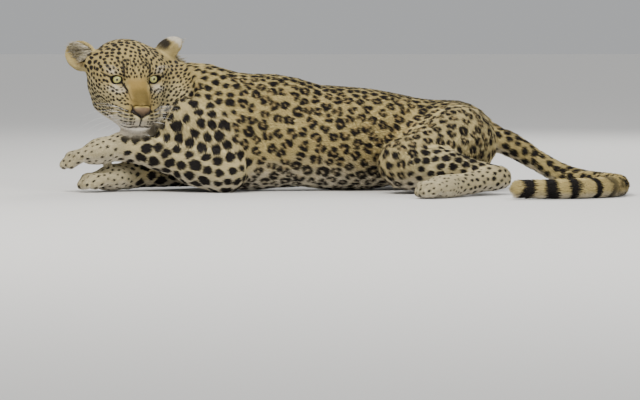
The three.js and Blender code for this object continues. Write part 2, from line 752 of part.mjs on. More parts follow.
// Cuts `name` clear of another part, and of that part moved a little each way along the axes.
function clear(made, name, other) {
  const { points, faces } = surfaceOf(made[other]);
  const ways = [0, 1, 2].flatMap((axis) => [-CLEARANCE, CLEARANCE].map((by) => [axis, by]));
  const shifted = ([axis, by]) => points.map((c, i) => (i % 3 === axis ? c + by : c));
  const moved = ways.map((way) => solid({ points: shifted(way), faces }));
  const room = wasm.Manifold.union([made[other], ...moved]);
  made[name] = largest(made[name].subtract(room));
}

const meets = (a, b) => a.intersect(b).volume() > 0.001;

// Splits `from` by planes into the named lengths, in order along the planes' normals.
function split(made, from, names, planes) {
  let rest = made[from];
  delete made[from];
  planes.forEach((plane, i) => {
    const [far, farther] = planeSeam(...plane);
    made[names[i]] = largest(rest.subtract(farther));
    rest = largest(rest.intersect(far));
  });
  made[names[planes.length]] = rest;
}

const made = makeSolids();

for (const side of ["right", "left"]) {
  const centre = v(side === "right" ? EYE_SPREAD : -EYE_SPREAD, 0, 0).applyMatrix4(HEAD);
  made["eye_" + side] = solid(welded(new THREE.SphereGeometry(EYE_RADIUS, 14, 10).translate(...centre)));
  clear(made, "head", "eye_" + side);
}
const noseBox = new THREE.Box3(NOSE_CENTRE.clone(), NOSE_CENTRE.clone()).expandByVector(v(32, 26, 26));
made.nose = solid(thin(wrap(nose, noseBox, 2.2, HEAD), 420));
clear(made, "head", "nose");
for (const side of ["right", "left"]) {
  const shape = earField();
  const surface = wrap(placed(EAR_FRAME[side], shape), grown(shape.box, 6), 2.8, EAR_FRAME[side]);
  made["ear_" + side] = solid(thin(surface, 520));
  clear(made, "ear_" + side, "head");
}

// The lower jaw comes away along the mouth line
const mouth = frameAt(v(0, 60, LIP_HEIGHT), v(0, 1, -0.06), v(0, 0.06, 1)).premultiply(HEAD);
const jawBlock = (by) => {
  const block = new THREE.BoxGeometry(120 + by, 160 + by, 160 + by);
  return solid(welded(block.translate(0, 44 - by / 2, by / 2 - 80).applyMatrix4(mouth)));
};
made.lower_jaw = largest(made.head.intersect(jawBlock(0)));
made.head = largest(made.head.subtract(jawBlock(SEAM_GAP)));

// What lies on or beside another part keeps clear of it, in this order
const ORDER = [
  "chest", "neck", "head", "lower_jaw", "nose", "eye_left", "eye_right", "ear_left", "ear_right",
  "torso", "paw_front_right", "forearm_right", "upper_arm_left", "upper_arm_right",
  "thigh_left", "thigh_right", "shank_left", "shank_right", "foot_left", "foot_right",
  "paw_hind_left", "paw_hind_right",
  "forearm_left", "paw_front_left", "tail",
].filter((name) => made[name]);

const floor = solid(beyond(v(0, 0, 0), v(0, 0, 1)));
for (const name of Object.keys(made)) made[name] = largest(made[name].intersect(floor));
ORDER.forEach((name, i) => {
  for (const other of ORDER.slice(0, i)) if (meets(made[name], made[other])) clear(made, name, other);
});

split(made, "torso", ["chest", "belly", "rump"], [
  [v(-66, -10, 120), v(1, 0.12, 0)],
  [v(196, 20, 120), v(1, 0.12, 0)],
]);
split(
  made,
  "tail",
  ["tail_1", "tail_2", "tail_3", "tail_4", "tail_5"],
  [0.25, 0.44, 0.62, 0.81].map((share) => [TAIL_LINE.getPointAt(share), TAIL_LINE.getTangentAt(share)]),
);

const CUT_TIDYING = 1e-3; // squared millimetres that a surface may move where cuts left slivers
const COLOURS = {
  coat: { color: new THREE.Color(0.62, 0.45, 0.24), roughness: 0.8, metalness: 0 },
  eye: { color: new THREE.Color(0.55, 0.58, 0.18), roughness: 0.15, metalness: 0 },
  nose: { color: new THREE.Color(0.42, 0.2, 0.15), roughness: 0.5, metalness: 0 },
};

// The middle of the model comes to stand over the origin
const extent = new THREE.Box3();
for (const body of Object.values(made)) {
  const { min, max } = body.boundingBox();
  extent.expandByPoint(v(...min)).expandByPoint(v(...max));
}
const middle = extent.getCenter(v(0, 0, 0));

const group = new THREE.Group();
for (const [name, body] of Object.entries(made)) {
  const { points, faces } = unpinched(thin(surfaceOf(body), 0, CUT_TIDYING));
  const geometry = new THREE.BufferGeometry();
  geometry.setAttribute("position", new THREE.Float32BufferAttribute(points, 3));
  geometry.setIndex([...faces]);
  geometry.translate(-middle.x, -middle.y, 0);
  geometry.computeVertexNormals();
  const kind = Object.keys(COLOURS).find((word) => name.startsWith(word)) ?? "coat";
  const mesh = new THREE.Mesh(geometry, new THREE.MeshStandardMaterial(COLOURS[kind]));
  mesh.name = name;
  group.add(mesh);
}
export default group;
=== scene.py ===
import math

import bmesh
import bpy
import numpy as np
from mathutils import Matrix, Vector
from mathutils.bvhtree import BVHTree
from mathutils.kdtree import KDTree


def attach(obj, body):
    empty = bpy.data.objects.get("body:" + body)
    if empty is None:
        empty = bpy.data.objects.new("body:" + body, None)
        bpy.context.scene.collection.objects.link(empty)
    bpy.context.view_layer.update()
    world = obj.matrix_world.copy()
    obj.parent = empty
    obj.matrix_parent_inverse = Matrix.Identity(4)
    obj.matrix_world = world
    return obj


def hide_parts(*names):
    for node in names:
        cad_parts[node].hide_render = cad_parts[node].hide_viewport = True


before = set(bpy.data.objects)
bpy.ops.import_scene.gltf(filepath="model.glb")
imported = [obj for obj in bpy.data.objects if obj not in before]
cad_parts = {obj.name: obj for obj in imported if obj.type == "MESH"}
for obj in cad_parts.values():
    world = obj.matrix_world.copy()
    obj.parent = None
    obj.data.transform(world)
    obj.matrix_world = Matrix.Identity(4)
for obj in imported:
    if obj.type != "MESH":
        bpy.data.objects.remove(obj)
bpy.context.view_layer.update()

# The camera stands well off the leopard's left side, a little above it, and looks down on it
# through a long lens, which gives the photograph's framing.
CAMERA_DISTANCE = 8
CAMERA_TILT = math.radians(3)
middle_of_view = Vector((-0.0502, 0.0622, -0.023))
toward_camera = Vector((0, -math.cos(CAMERA_TILT), math.sin(CAMERA_TILT)))
camera_data = bpy.data.cameras.new("camera")
camera_data.sensor_width = 36
camera_data.lens = 195.65
camera_data.clip_end = 200
camera = bpy.data.objects.new("camera", camera_data)
camera.location = middle_of_view + toward_camera * CAMERA_DISTANCE
camera.rotation_euler = (-toward_camera).to_track_quat("-Z", "Y").to_euler()
bpy.context.scene.collection.objects.link(camera)
bpy.context.scene.camera = camera

# The light is a soft studio: a wide lamp above and before the animal, weaker ones from the front
# right and from behind, and a pale surround that fills the shadows.
def soft_lamp(name, place, aim, size, watts, colour):
    lamp_data = bpy.data.lights.new(name, "AREA")
    lamp_data.shape = "DISK"
    lamp_data.size = size
    lamp_data.energy = watts
    lamp_data.color = colour
    lamp = bpy.data.objects.new(name, lamp_data)
    lamp.location = place
    lamp.rotation_euler = (Vector(aim) - Vector(place)).to_track_quat("-Z", "Y").to_euler()
    bpy.context.scene.collection.objects.link(lamp)


def wire(thing, *joins):
    """Joins sockets among the nodes of the surround or of a finish."""
    for outlet, inlet in joins:
        thing.node_tree.links.new(outlet, inlet)


soft_lamp("lamp_above", (-1.2, -2.0, 3.2), (-0.1, 0, 0.1), 2.2, 165, (1, 0.97, 0.92))
soft_lamp("lamp_front", (2.4, -3.2, 2.0), (0, 0, 0.1), 1.8, 60, (0.95, 0.97, 1))
soft_lamp("lamp_back", (1.2, 3.0, 2.2), (0, 0, 0.1), 2.0, 60, (1, 1, 0.96))
surround = bpy.data.worlds.new("surround")
surround.use_nodes = True
sky = surround.node_tree.nodes
sky["Background"].inputs["Strength"].default_value = 0.8
sky_way = sky.new("ShaderNodeTexCoord")
sky_height = sky.new("ShaderNodeSeparateXYZ")
sky_ramp = sky.new("ShaderNodeValToRGB")
sky_ramp.color_ramp.elements[0].position = 0.03
sky_ramp.color_ramp.elements[0].color = (0.555, 0.565, 0.575, 1)
sky_ramp.color_ramp.elements[1].position = 0.5
sky_ramp.color_ramp.elements[1].color = (0.93, 0.94, 0.95, 1)
wire(
    surround,
    (sky_way.outputs["Generated"], sky_height.inputs["Vector"]),
    (sky_height.outputs["Z"], sky_ramp.inputs["Fac"]),
    (sky_ramp.outputs["Color"], sky["Background"].inputs["Color"]),
)
bpy.context.scene.world = surround

# The floor is a plain pale matt sheet that the animal lies on, wide enough to reach the horizon of
# every view. It is stage, and no part of the model.
FLOOR_WIDTH = 60


def new_finish(name, settings):
    """A material with its shader set, and its nodes."""
    finish = bpy.data.materials.new(name)
    finish.use_nodes = True
    nodes = finish.node_tree.nodes
    for socket, value in settings.items():
        nodes["Principled BSDF"].inputs[socket].default_value = value
    return finish, nodes


bpy.ops.object.select_all(action="DESELECT")
bpy.ops.mesh.primitive_plane_add(size=FLOOR_WIDTH)
floor = bpy.context.object
floor.name = "floor"
floor_paint, _ = new_finish("floor_paint", {"Base Color": (0.66, 0.65, 0.63, 1), "Roughness": 0.8})
floor.data.materials.append(floor_paint)

# The hide is one soft skin over the whole animal, with no seam between head, body, legs and tail.
# It is drawn over the solids, smoothed where their facets show, and lies under the coat by the
# coat's depth.
FINE_GRAIN = 0.0026
SKIN_GRAIN = 0.0050
OVER_SOLIDS = 0.0004
SMOOTHING_TURNS = 30
HEAD_TURNS = 6
flesh = [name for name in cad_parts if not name.startswith(("eye", "nose"))]
head_origin = np.array([-0.4742, -0.0138, 0.260])
head_axes = np.array([[-0.9397, -0.3420, 0], [0.3124, -0.8584, -0.4067], [0.1391, -0.3822, 0.9135]])


def as_object(name, points, faces):
    mesh = bpy.data.meshes.new(name)
    mesh.from_pydata(np.asarray(points).tolist(), [], [list(f) for f in faces])
    made = bpy.data.objects.new(name, mesh)
    bpy.context.scene.collection.objects.link(made)
    return made


def points_of(thing):
    flat = np.empty(len(thing.data.vertices) * 3, np.float32)
    thing.data.vertices.foreach_get("co", flat)
    return flat.reshape(-1, 3).astype(float)


def move_points(thing, points):
    thing.data.vertices.foreach_set("co", points.astype(np.float32).ravel())
    thing.data.update()


def pairs_of(thing):
    flat = np.empty(len(thing.data.edges) * 2, np.int32)
    thing.data.edges.foreach_get("vertices", flat)
    return flat.reshape(-1, 2)


def averaged(values, pairs, count):
    total = np.zeros((len(values), values.shape[1]))
    for column in range(values.shape[1]):
        one_way = np.bincount(pairs[:, 0], values[pairs[:, 1], column], len(values))
        other_way = np.bincount(pairs[:, 1], values[pairs[:, 0], column], len(values))
        total[:, column] = one_way + other_way
    return total / count[:, None]


def pick_only(thing):
    bpy.ops.object.select_all(action="DESELECT")
    thing.select_set(True)
    bpy.context.view_layer.objects.active = thing


def finish_with(thing, kind, **settings):
    modifier = thing.modifiers.new(kind.lower(), kind)
    for key, value in settings.items():
        setattr(modifier, key, value)
    pick_only(thing)
    bpy.ops.object.modifier_apply(modifier=modifier.name)


def in_head(points):
    """Places in millimetres from between the eyes: sideways, out of the face, up."""
    return (np.asarray(points) - head_origin) @ head_axes.T * 1000


def step(values, low, high):
    """Rises softly from 0 to 1 between low and high."""
    t = np.clip((values - low) / (high - low), 0, 1)
    return t * t * (3 - 2 * t)


solid_points, solid_faces, solid_names = [], [], []
for name in flesh:
    sheet = bmesh.new()
    sheet.from_mesh(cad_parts[name].data)
    bmesh.ops.remove_doubles(sheet, verts=sheet.verts, dist=1e-6)
    sheet.verts.index_update()
    sheet.normal_update()
    first = len(solid_points)
    solid_points += [v.co + v.normal * OVER_SOLIDS for v in sheet.verts]
    solid_faces += [[v.index + first for v in f.verts] for f in sheet.faces]
    solid_names += [name] * len(sheet.faces)
    sheet.free()
solids = BVHTree.FromPolygons(solid_points, solid_faces)
skin = as_object("skin", solid_points, solid_faces)
finish_with(skin, "REMESH", mode="VOXEL", voxel_size=FINE_GRAIN)

points = points_of(skin)
pairs = pairs_of(skin)
degree = np.maximum(np.bincount(pairs.ravel(), minlength=len(points)), 1)
off_middle = np.linalg.norm(in_head(points) - [0, -10, -20], axis=1)
on_head = step(-off_middle, -150, -105)[:, None]
for turn in range(SMOOTHING_TURNS):
    amount = np.where(turn < HEAD_TURNS, 0.5, 0.5 * (1 - on_head))
    points = points + amount * (averaged(points, pairs, degree) - points)
    points = points - amount * 1.04 * (averaged(points, pairs, degree) - points)
move_points(skin, points)

smooth_faces = [list(f.vertices) for f in skin.data.polygons]
smooth_hide = BVHTree.FromPolygons(points.tolist(), smooth_faces)
finish_with(skin, "REMESH", mode="VOXEL", voxel_size=SKIN_GRAIN)
head_here = np.linalg.norm(in_head(points_of(skin)) - [0, -10, -25], axis=1) < 135
bpy.ops.object.mode_set(mode="EDIT")
bpy.ops.mesh.select_all(action="DESELECT")
bpy.ops.object.mode_set(mode="OBJECT")
skin.data.vertices.foreach_set("select", head_here)
for polygon in skin.data.polygons:
    polygon.select = all(head_here[list(polygon.vertices)])
for edge in skin.data.edges:
    edge.select = all(head_here[list(edge.vertices)])
bpy.ops.object.mode_set(mode="EDIT")
bpy.ops.mesh.subdivide(number_cuts=1)
bpy.ops.mesh.quads_convert_to_tris()
bpy.ops.object.mode_set(mode="OBJECT")
move_points(skin, np.array([smooth_hide.find_nearest(p)[0] for p in points_of(skin).tolist()]))

# The coat of a leopard changes from part to part: long and thick on the neck and belly, short on
# the legs, like velvet on the face and feet. The hide is sunk under it by the coat's depth here,
# and the line of the mouth is pressed in.
MOUTH_DEPTH = 0.0026
LOWEST_SKIN = 0.0012
BLEND_TURNS = 26
COMB_TURNS = 25
# Depth of the coat, then length and width of its tufts, in millimetres, and their lift in degrees.
coat_of = {
    "head": (1.6, 5.5, 1.30, 12),
    "ear": (0.9, 6.0, 1.20, 12),
    "neck": (4.0, 13, 2.20, 11),
    "trunk": (4.5, 12.5, 2.30, 10),
    "upper_arm": (3.5, 12, 2.20, 9),
    "forearm": (2.5, 10, 2.00, 9),
    "paw_front": (1.8, 6.5, 1.60, 9),
    "thigh": (4.0, 13, 2.30, 9),
    "shank": (3.0, 10, 2.00, 9),
    "foot": (2.2, 8.0, 1.80, 9),
    "paw_hind": (1.8, 6.5, 1.60, 9),
    "tail": (4.0, 15, 2.30, 13),
}
parts = list(coat_of)
# The way the hair points on each part.
lie_of = {
    "neck": (0.93, -0.20, -0.32),
    "chest": (0.96, 0.0, -0.22),
    "belly": (0.97, 0.0, -0.18),
    "rump": (0.95, 0.0, -0.25),
    "upper_arm_left": (0.45, -0.30, -0.84),
    "upper_arm_right": (0.40, 0.40, -0.82),
    "forearm_left": (-0.97, 0.10, 0.21),
    "forearm_right": (-0.85, -0.52, -0.06),
    "paw_front_left": (-0.90, -0.05, -0.35),
    "paw_front_right": (-0.85, -0.45, -0.20),
    "thigh_left": (0.35, -0.55, -0.60),
    "thigh_right": (0.35, 0.55, -0.60),
    "shank_left": (0.96, -0.16, -0.14),
    "shank_right": (0.96, 0.22, -0.20),
    "foot_left": (-0.68, -0.73, -0.11),
    "foot_right": (-0.96, 0.27, -0.10),
    "paw_hind_left": (-0.68, -0.73, -0.15),
    "paw_hind_right": (-0.96, 0.27, -0.15),
    "ear_left": (0.55, 0.57, 0.61),
    "ear_right": (-0.80, 0.20, 0.56),
}
# The middle of the tail, from its root to its tip.
tail_line = np.array([
    (300, 104, 130), (336, 102, 124), (390, 92, 103), (444, 74, 71), (498, 50, 41), (552, 10, 25),
    (598, -62, 22), (618, -153, 22), (598, -244, 22), (540, -308, 22), (465, -340, 22), (388, -343, 22),
]) / 1000


def normals_of(thing):
    flat = np.empty(len(thing.data.vertices) * 3, np.float32)
    thing.data.vertex_normals.foreach_get("vector", flat)
    return flat.reshape(-1, 3).astype(float)


def names_at(points):
    return np.array([solid_names[solids.find_nearest(p)[2]] for p in points.tolist()])


def part_of(name):
    for ending in ("_left", "_right"):
        name = name.removesuffix(ending)
    if name in ("chest", "belly", "rump"):
        return "trunk"
    return {"lower_jaw": "head"}.get(name, "tail" if name.startswith("tail") else name)


def along_tail(points):
    """How far along the tail each place is, and which way the tail runs there."""
    steps = np.linalg.norm(np.diff(tail_line, axis=0), axis=1)
    starts = np.concatenate([[0], np.cumsum(steps)[:-1]])
    best = np.full(len(points), 9.0)
    place = np.zeros(len(points))
    heading = np.zeros((len(points), 3))
    for a, b, long, start in zip(tail_line[:-1], tail_line[1:], steps, starts):
        t = np.clip((points - a) @ (b - a) / long**2, 0, 1)
        away = np.linalg.norm(points - a - t[:, None] * (b - a), axis=1)
        near = away < best
        best[near] = away[near]
        place[near] = start + t[near] * long
        heading[near] = (b - a) / long
    return place, heading


def unit(vectors):
    return vectors / np.maximum(np.linalg.norm(vectors, axis=1, keepdims=True), 1e-9)


points = points_of(skin)
normals = normals_of(skin)
pairs = pairs_of(skin)
degree = np.maximum(np.bincount(pairs.ravel(), minlength=len(points)), 1)
names = names_at(points)
share = np.zeros((len(points), len(parts)))
share[np.arange(len(points)), [parts.index(part_of(n)) for n in names]] = 1
HEAD, EAR, TRUNK = parts.index("head"), parts.index("ear"), parts.index("trunk")
tail_place, tail_heading = along_tail(points)
face = in_head(points)
lie = np.zeros((len(points), 3))
for name, heading in lie_of.items():
    lie[names == name] = heading
on_tail = share[:, parts.index("tail")] > 0
lie[on_tail] = tail_heading[on_tail]
on_face = np.isin(names, ("head", "lower_jaw"))
lie[on_face] = unit((face[on_face] - [0, 100, -38]) * [1, 0.8, 1]) @ head_axes
on_trunk = share[:, TRUNK] > 0
lie[on_trunk, 2] -= 0.25 * step(-normals[on_trunk, 1], 0.2, 0.9)
for turn in range(BLEND_TURNS):
    share += 0.6 * (averaged(share, pairs, degree) - share)
for turn in range(COMB_TURNS):
    lie += 0.6 * (averaged(lie, pairs, degree) - lie)
    lie = unit(lie - (lie * normals).sum(1, keepdims=True) * normals)
coat_sizes = share @ np.array([coat_of[p] for p in parts])
points = points - normals * coat_sizes[:, :1] / 1000
mouth_line = [
    ((0, 91, -83), (28, 78, -87)), ((28, 78, -87), (56, 42, -91)), ((0, 99, -58), (0, 92, -84))
]
folded = np.stack([np.abs(face[:, 0]), face[:, 1], face[:, 2]], 1)
for start, end in mouth_line:
    start, end = np.array(start, float), np.array(end, float)
    t = np.clip((folded - start) @ (end - start) / ((end - start) @ (end - start)), 0, 1)
    away = np.linalg.norm((folded - start - t[:, None] * (end - start)) * [1, 0.3, 1], axis=1)
    points = points - normals * (MOUTH_DEPTH * step(4.2 - away, 0, 3.6) * on_face)[:, None]
points[:, 2] = np.maximum(points[:, 2], LOWEST_SKIN)
move_points(skin, points)

# The markings are in the hair: rings of black brown dabs round a tawny middle on back and flanks,
# solid spots on neck, legs and head, bands at the end of the tail. They are drawn from seeds
# strewn over the hide, so skin and tufts carry the same ones.
SEED_TRIES = 26000
MOST_SEEDS = 6000
SPACING_TURNS = 4
TAIL_BAND = 0.052
BANDS_BEGIN = (0.52, 0.62)
BLACK_TIP = (0.84, 0.86)
# Distance between marks and half the width of one, in millimetres, and the share of rings.
marks_of = {
    "head": (7.6, 3.7, 0.0),
    "ear": (30, 0.1, 0.0),
    "neck": (16, 7.8, 0.0),
    "trunk": (24.8, 14.4, 1.0),
    "upper_arm": (26, 14.3, 0.0),
    "forearm": (25, 13.8, 0.0),
    "paw_front": (13, 3.8, 0.0),
    "thigh": (23, 13.0, 0.8),
    "shank": (19, 9.9, 0.0),
    "foot": (15, 5.6, 0.0),
    "paw_hind": (12, 3.4, 0.0),
    "tail": (20, 10.0, 0.0),
}
TAWNY = np.array([0.605, 0.482, 0.205])
CREAM = np.array([0.675, 0.585, 0.340])
WHITE = np.array([0.780, 0.720, 0.610])
RING_MIDDLE = np.array([0.440, 0.290, 0.110])
BLACK = np.array([0.009, 0.006, 0.005])
draw = np.random.default_rng(11)


def cloud(where, grain, seed):
    """Soft lumps of shade, from -1 to 1, on a lattice of the given grain."""
    spot = np.asarray(where) / grain
    corner = np.floor(spot).astype(int)
    part = spot - corner
    part = part * part * (3 - 2 * part)
    total = 0
    for dx in (0, 1):
        for dy in (0, 1):
            for dz in (0, 1):
                key = (corner + [dx, dy, dz]) @ [73856093, 19349663, 83492791] + seed * 7919
                key = (key ^ (key >> 13)) * 1274126177
                value = ((key ^ (key >> 16)) & 0xFFFF) / 32767.5 - 1
                weight = np.abs(1 - dx - part[:, 0]) * np.abs(1 - dy - part[:, 1])
                total = total + value * (weight * np.abs(1 - dz - part[:, 2]))
    return total


mark_sizes = share @ np.array([marks_of[p] for p in parts])
face = in_head(points)
toward_crown = share[:, HEAD] * step(-face[:, 1], -25, 60)
mark_sizes[:, :2] *= (0.85 + 0.75 * toward_crown)[:, None]
spine_row = share[:, TRUNK] * step(normals[:, 2], 0.62, 0.92) * step(points[:, 2], 0.15, 0.2)
mark_sizes[:, 0] *= 1 - 0.38 * spine_row
mark_sizes[:, 1] *= 1 - 0.24 * spine_row
mark_sizes[:, 2] *= 1 - spine_row
shoulder = (share[:, TRUNK] * step(-points[:, 0], 0.215, 0.265))[:, None]
mark_sizes += shoulder * (np.array([17.5, 9.2, 0]) - mark_sizes)


def bare_of_spots(h):
    """Where the face has no strewn spots: nose bridge, rims of the eyes, muzzle and chin."""
    side = np.abs(h[:, 0])
    bridge = step(25 + 3 * step(-h[:, 2], -20, 20) - side, 0, 4)
    bridge = bridge * step(h[:, 1], 14, 24) * step(15 - h[:, 2], 0, 6)
    muzzle = step(h[:, 1], 44, 54) * step(-h[:, 2], 34, 40) * step(57 - side, 0, 5)
    chin = step(h[:, 1], 10, 22) * step(-h[:, 2], 78, 84) * step(52 - side, 0, 6)
    eye = step(17 - np.hypot(0.9 * (side - 46), 1.15 * (h[:, 2] - 2)), 0, 3) * step(h[:, 1], -6, 2)
    throat = 0.8 * step(-h[:, 2], 92, 100)
    return np.maximum.reduce([bridge, muzzle, chin, eye, throat])


no_spots = bare_of_spots(face) * share[:, HEAD]
spotted = (no_spots <= 0.4) & (share[:, EAR] <= 0.25)
seeds = []
taken = np.empty((MOST_SEEDS, 3))
reach = np.empty(MOST_SEEDS)
for one in draw.permutation(len(points))[:SEED_TRIES]:
    if not spotted[one]:
        continue
    n = len(seeds)
    wide = mark_sizes[one, 0] / 1000
    if n and (np.sum((taken[:n] - points[one]) ** 2, axis=1) < (0.5 * (wide + reach[:n])) ** 2).any():
        continue
    taken[n] = points[one]
    reach[n] = wide
    seeds.append(one)
seeds = np.array(seeds)
spotted = np.nonzero(spotted)[0]
for turn in range(SPACING_TURNS):
    tree = KDTree(len(seeds))
    for k, one in enumerate(seeds):
        tree.insert(points[one], k)
    tree.balance()
    owner = np.array([tree.find(p)[1] for p in points[spotted].tolist()])
    weight = 1 / mark_sizes[spotted, 0] ** 2
    total = np.maximum(np.bincount(owner, weight, len(seeds)), 1e-12)
    pull = weight[:, None] * points[spotted]
    middles = np.stack([np.bincount(owner, pull[:, c], len(seeds)) for c in range(3)], 1)
    middles = middles / total[:, None]
    away = np.linalg.norm(points[spotted] - middles[owner], axis=1)
    by_distance = np.lexsort((away, owner))
    held, nearest = np.unique(owner[by_distance], return_index=True)
    seeds[held] = spotted[by_distance[nearest]]


def spots(where, normal, seed_points, seed_normals, seed_lies, sizes, rings, randoms):
    """How black each place is, and how deep it lies in the middle of a ring."""
    black = np.zeros(len(where))
    middle = np.zeros(len(where))
    nearest = np.full(len(where), 9.0)
    second = np.full(len(where), 9.0)
    cell = 0.025
    keys = np.floor(where / cell).astype(int) + 64
    code = (keys[:, 0] * 256 + keys[:, 1]) * 256 + keys[:, 2]
    sort = np.argsort(code, kind="stable")
    ordered = code[sort]
    wobble = np.stack([cloud(where, 0.007, 5), cloud(where, 0.007, 6)], 1)
    for k in range(len(seed_points)):
        base = np.floor(seed_points[k] / cell).astype(int) + 64
        found = []
        for dx in (-1, 0, 1):
            for dy in (-1, 0, 1):
                row = ((base[0] + dx) * 256 + base[1] + dy) * 256 + base[2]
                low, high = np.searchsorted(ordered, (row - 1, row + 2))
                found.append(sort[low:high])
        found = np.concatenate(found)
        if not len(found):
            continue
        offset = where[found] - seed_points[k]
        along = offset @ seed_lies[k]
        across = offset @ np.cross(seed_normals[k], seed_lies[k])
        size = sizes[k] / 1000
        facing = normal[found] @ seed_normals[k] > 0.2
        near = facing & (along**2 + across**2 < (2.0 * size) ** 2)
        near &= np.abs(offset @ seed_normals[k]) < 0.02
        if not near.any():
            continue
        found = found[near]
        u = along[near] / size + 0.20 * wobble[found, 0]
        v = across[near] / size + 0.20 * wobble[found, 1]
        chance = randoms[k]
        if chance[0] < rings[k]:
            dabs = 3 + int(chance[1] * 1.9)
            value = np.full(len(found), -9.0)
            for dab in range(dabs):
                turn = 2 * math.pi * (dab + 0.55 * (chance[2 + dab] - 0.5)) / dabs + 6.28 * chance[8]
                if dabs > 3 and chance[9] > 0.5 and dab == 0:
                    continue
                cx, cy = 0.64 * math.cos(turn), 0.60 * math.sin(turn)
                out = (u - cx) * math.cos(turn) + (v - cy) * math.sin(turn)
                side = (v - cy) * math.cos(turn) - (u - cx) * math.sin(turn)
                long = 0.54 + 0.15 * chance[3 + dab]
                thick = 0.40 + 0.09 * chance[7 - dab]
                value = np.maximum(value, 1 - np.hypot(out / thick, side / long))
            hollow = step(0.95 - np.hypot(u, v), 0, 0.35)
        else:
            small = 1.0 if rings[k] < 0.2 else 0.8
            long = small * (1.05 + 0.25 * chance[2])
            thin = small * (0.78 + 0.14 * chance[3])
            slant = 0.9 * (chance[4] - 0.5)
            along_spot = u * math.cos(slant) + v * math.sin(slant)
            across_spot = v * math.cos(slant) - u * math.sin(slant)
            value = 1 - np.hypot(along_spot / long, across_spot / thin)
            if size > 0.006 and chance[5] > 0.22:
                lobe = 0.45 if chance[6] > 0.5 else -0.45
                value = np.maximum(value, 1 - np.hypot(
                    (along_spot - 0.5 * lobe) / (0.62 * small), (across_spot - lobe) / (0.66 * small)
                ))
            hollow = 0 * u
        away = np.hypot(u, v)
        closer = away < nearest[found]
        second[found] = np.where(closer, nearest[found], np.minimum(second[found], away))
        nearest[found] = np.where(closer, away, nearest[found])
        black[found] = np.where(closer, step(value, -0.05, 0.07), black[found])
        middle[found] = np.where(closer, hollow, middle[found])
    black = black * step(second - nearest, 0.08, 0.28)
    return black, middle


seed_table = (
    points[seeds], normals[seeds], lie[seeds],
    mark_sizes[seeds, 1] * (0.85 + 0.35 * draw.random(len(seeds))),
    mark_sizes[seeds, 2], draw.random((len(seeds), 10)),
)


def mixed(one, other, amount):
    return one + (other - one) * amount[:, None]


def from_head(places):
    """Turns places given from between the eyes into places in the room."""
    return np.asarray(places) / 1000 @ head_axes + head_origin


TAN = np.array([0.495, 0.388, 0.165])
GINGER = np.array([0.350, 0.225, 0.048])
OLIVE = np.array([0.165, 0.118, 0.030])
EAR_HOLLOW_SHADE = np.array([0.120, 0.085, 0.055])
# Dark lines of the face: from, to, half the width at each end and strength. Places are sideways
# from the middle, out of the face and up, in millimetres from between the eyes.
face_lines = [
    ((34, 24, -3), (27, 46, -9), 3.4, 2.4, 1.0),
    ((27, 46, -9), (22, 66, -24), 2.2, 1.0, 0.6),
    ((30, 24, 13), (32, 13, 31), 2.4, 2.6, 0.95),
    ((32, 13, 31), (29, 3, 43), 2.4, 1.4, 0.9),
    ((60, 12, 9), (78, -2, 13), 2.6, 1.4, 0.95),
    ((40, 34, -15), (62, 22, -13), 1.2, 1.4, 0.7),
    ((25, 14, 30), (21, 2, 46), 1.6, 1.2, 0.9),
    ((15, 12, 36), (12, -2, 50), 1.3, 1.0, 0.8),
    ((7, 14, 33), (6, 2, 47), 1.2, 1.0, 0.8),
    ((38, 8, 36), (41, -6, 47), 1.8, 1.3, 0.9),
    ((24, 80, -33), (18, 90, -42), 2.0, 2.0, 0.85),
    ((0, 99, -56), (0, 93, -82), 1.7, 1.7, 1.0),
    ((0, 91, -83), (28, 78, -87), 1.9, 2.2, 0.95),
    ((28, 78, -87), (56, 42, -91), 2.2, 1.6, 0.95),
]
whisker_rows = [
    ((23, 90, -45), (52, 60, -44)),
    ((20, 95, -52), (50, 64, -52)),
    ((18, 97, -60), (48, 68, -60)),
    ((16, 96, -68), (44, 71, -68)),
    ((17, 92, -75), (38, 75, -75)),
]
chin_dots = [(9, 84, -92), (17, 82, -94), (25, 76, -93), (13, 84, -101), (22, 78, -102), (33, 68, -97)]
ear_frames = [
    (from_head([88, -68, 10]), np.array([-0.10, -0.95, 0.20]), np.array([-0.80, 0.20, 0.56])),
    (from_head([-92, -72, 8]), np.array([0.51, 0.35, -0.785]), np.array([0.66, 0.46, 0.60])),
]


def near_line(h, start, end):
    """How far places on the face lie from a line drawn on it, and how far along it they are."""
    start, end = np.array(start, float), np.array(end, float)
    run = (end - start) * [1, 0.3, 1]
    t = np.clip((h - start) * [1, 0.3, 1] @ run / (run @ run), 0, 1)
    off = h - start - t[:, None] * (end - start)
    return np.linalg.norm(off * [1, 0.12, 1], axis=1), t


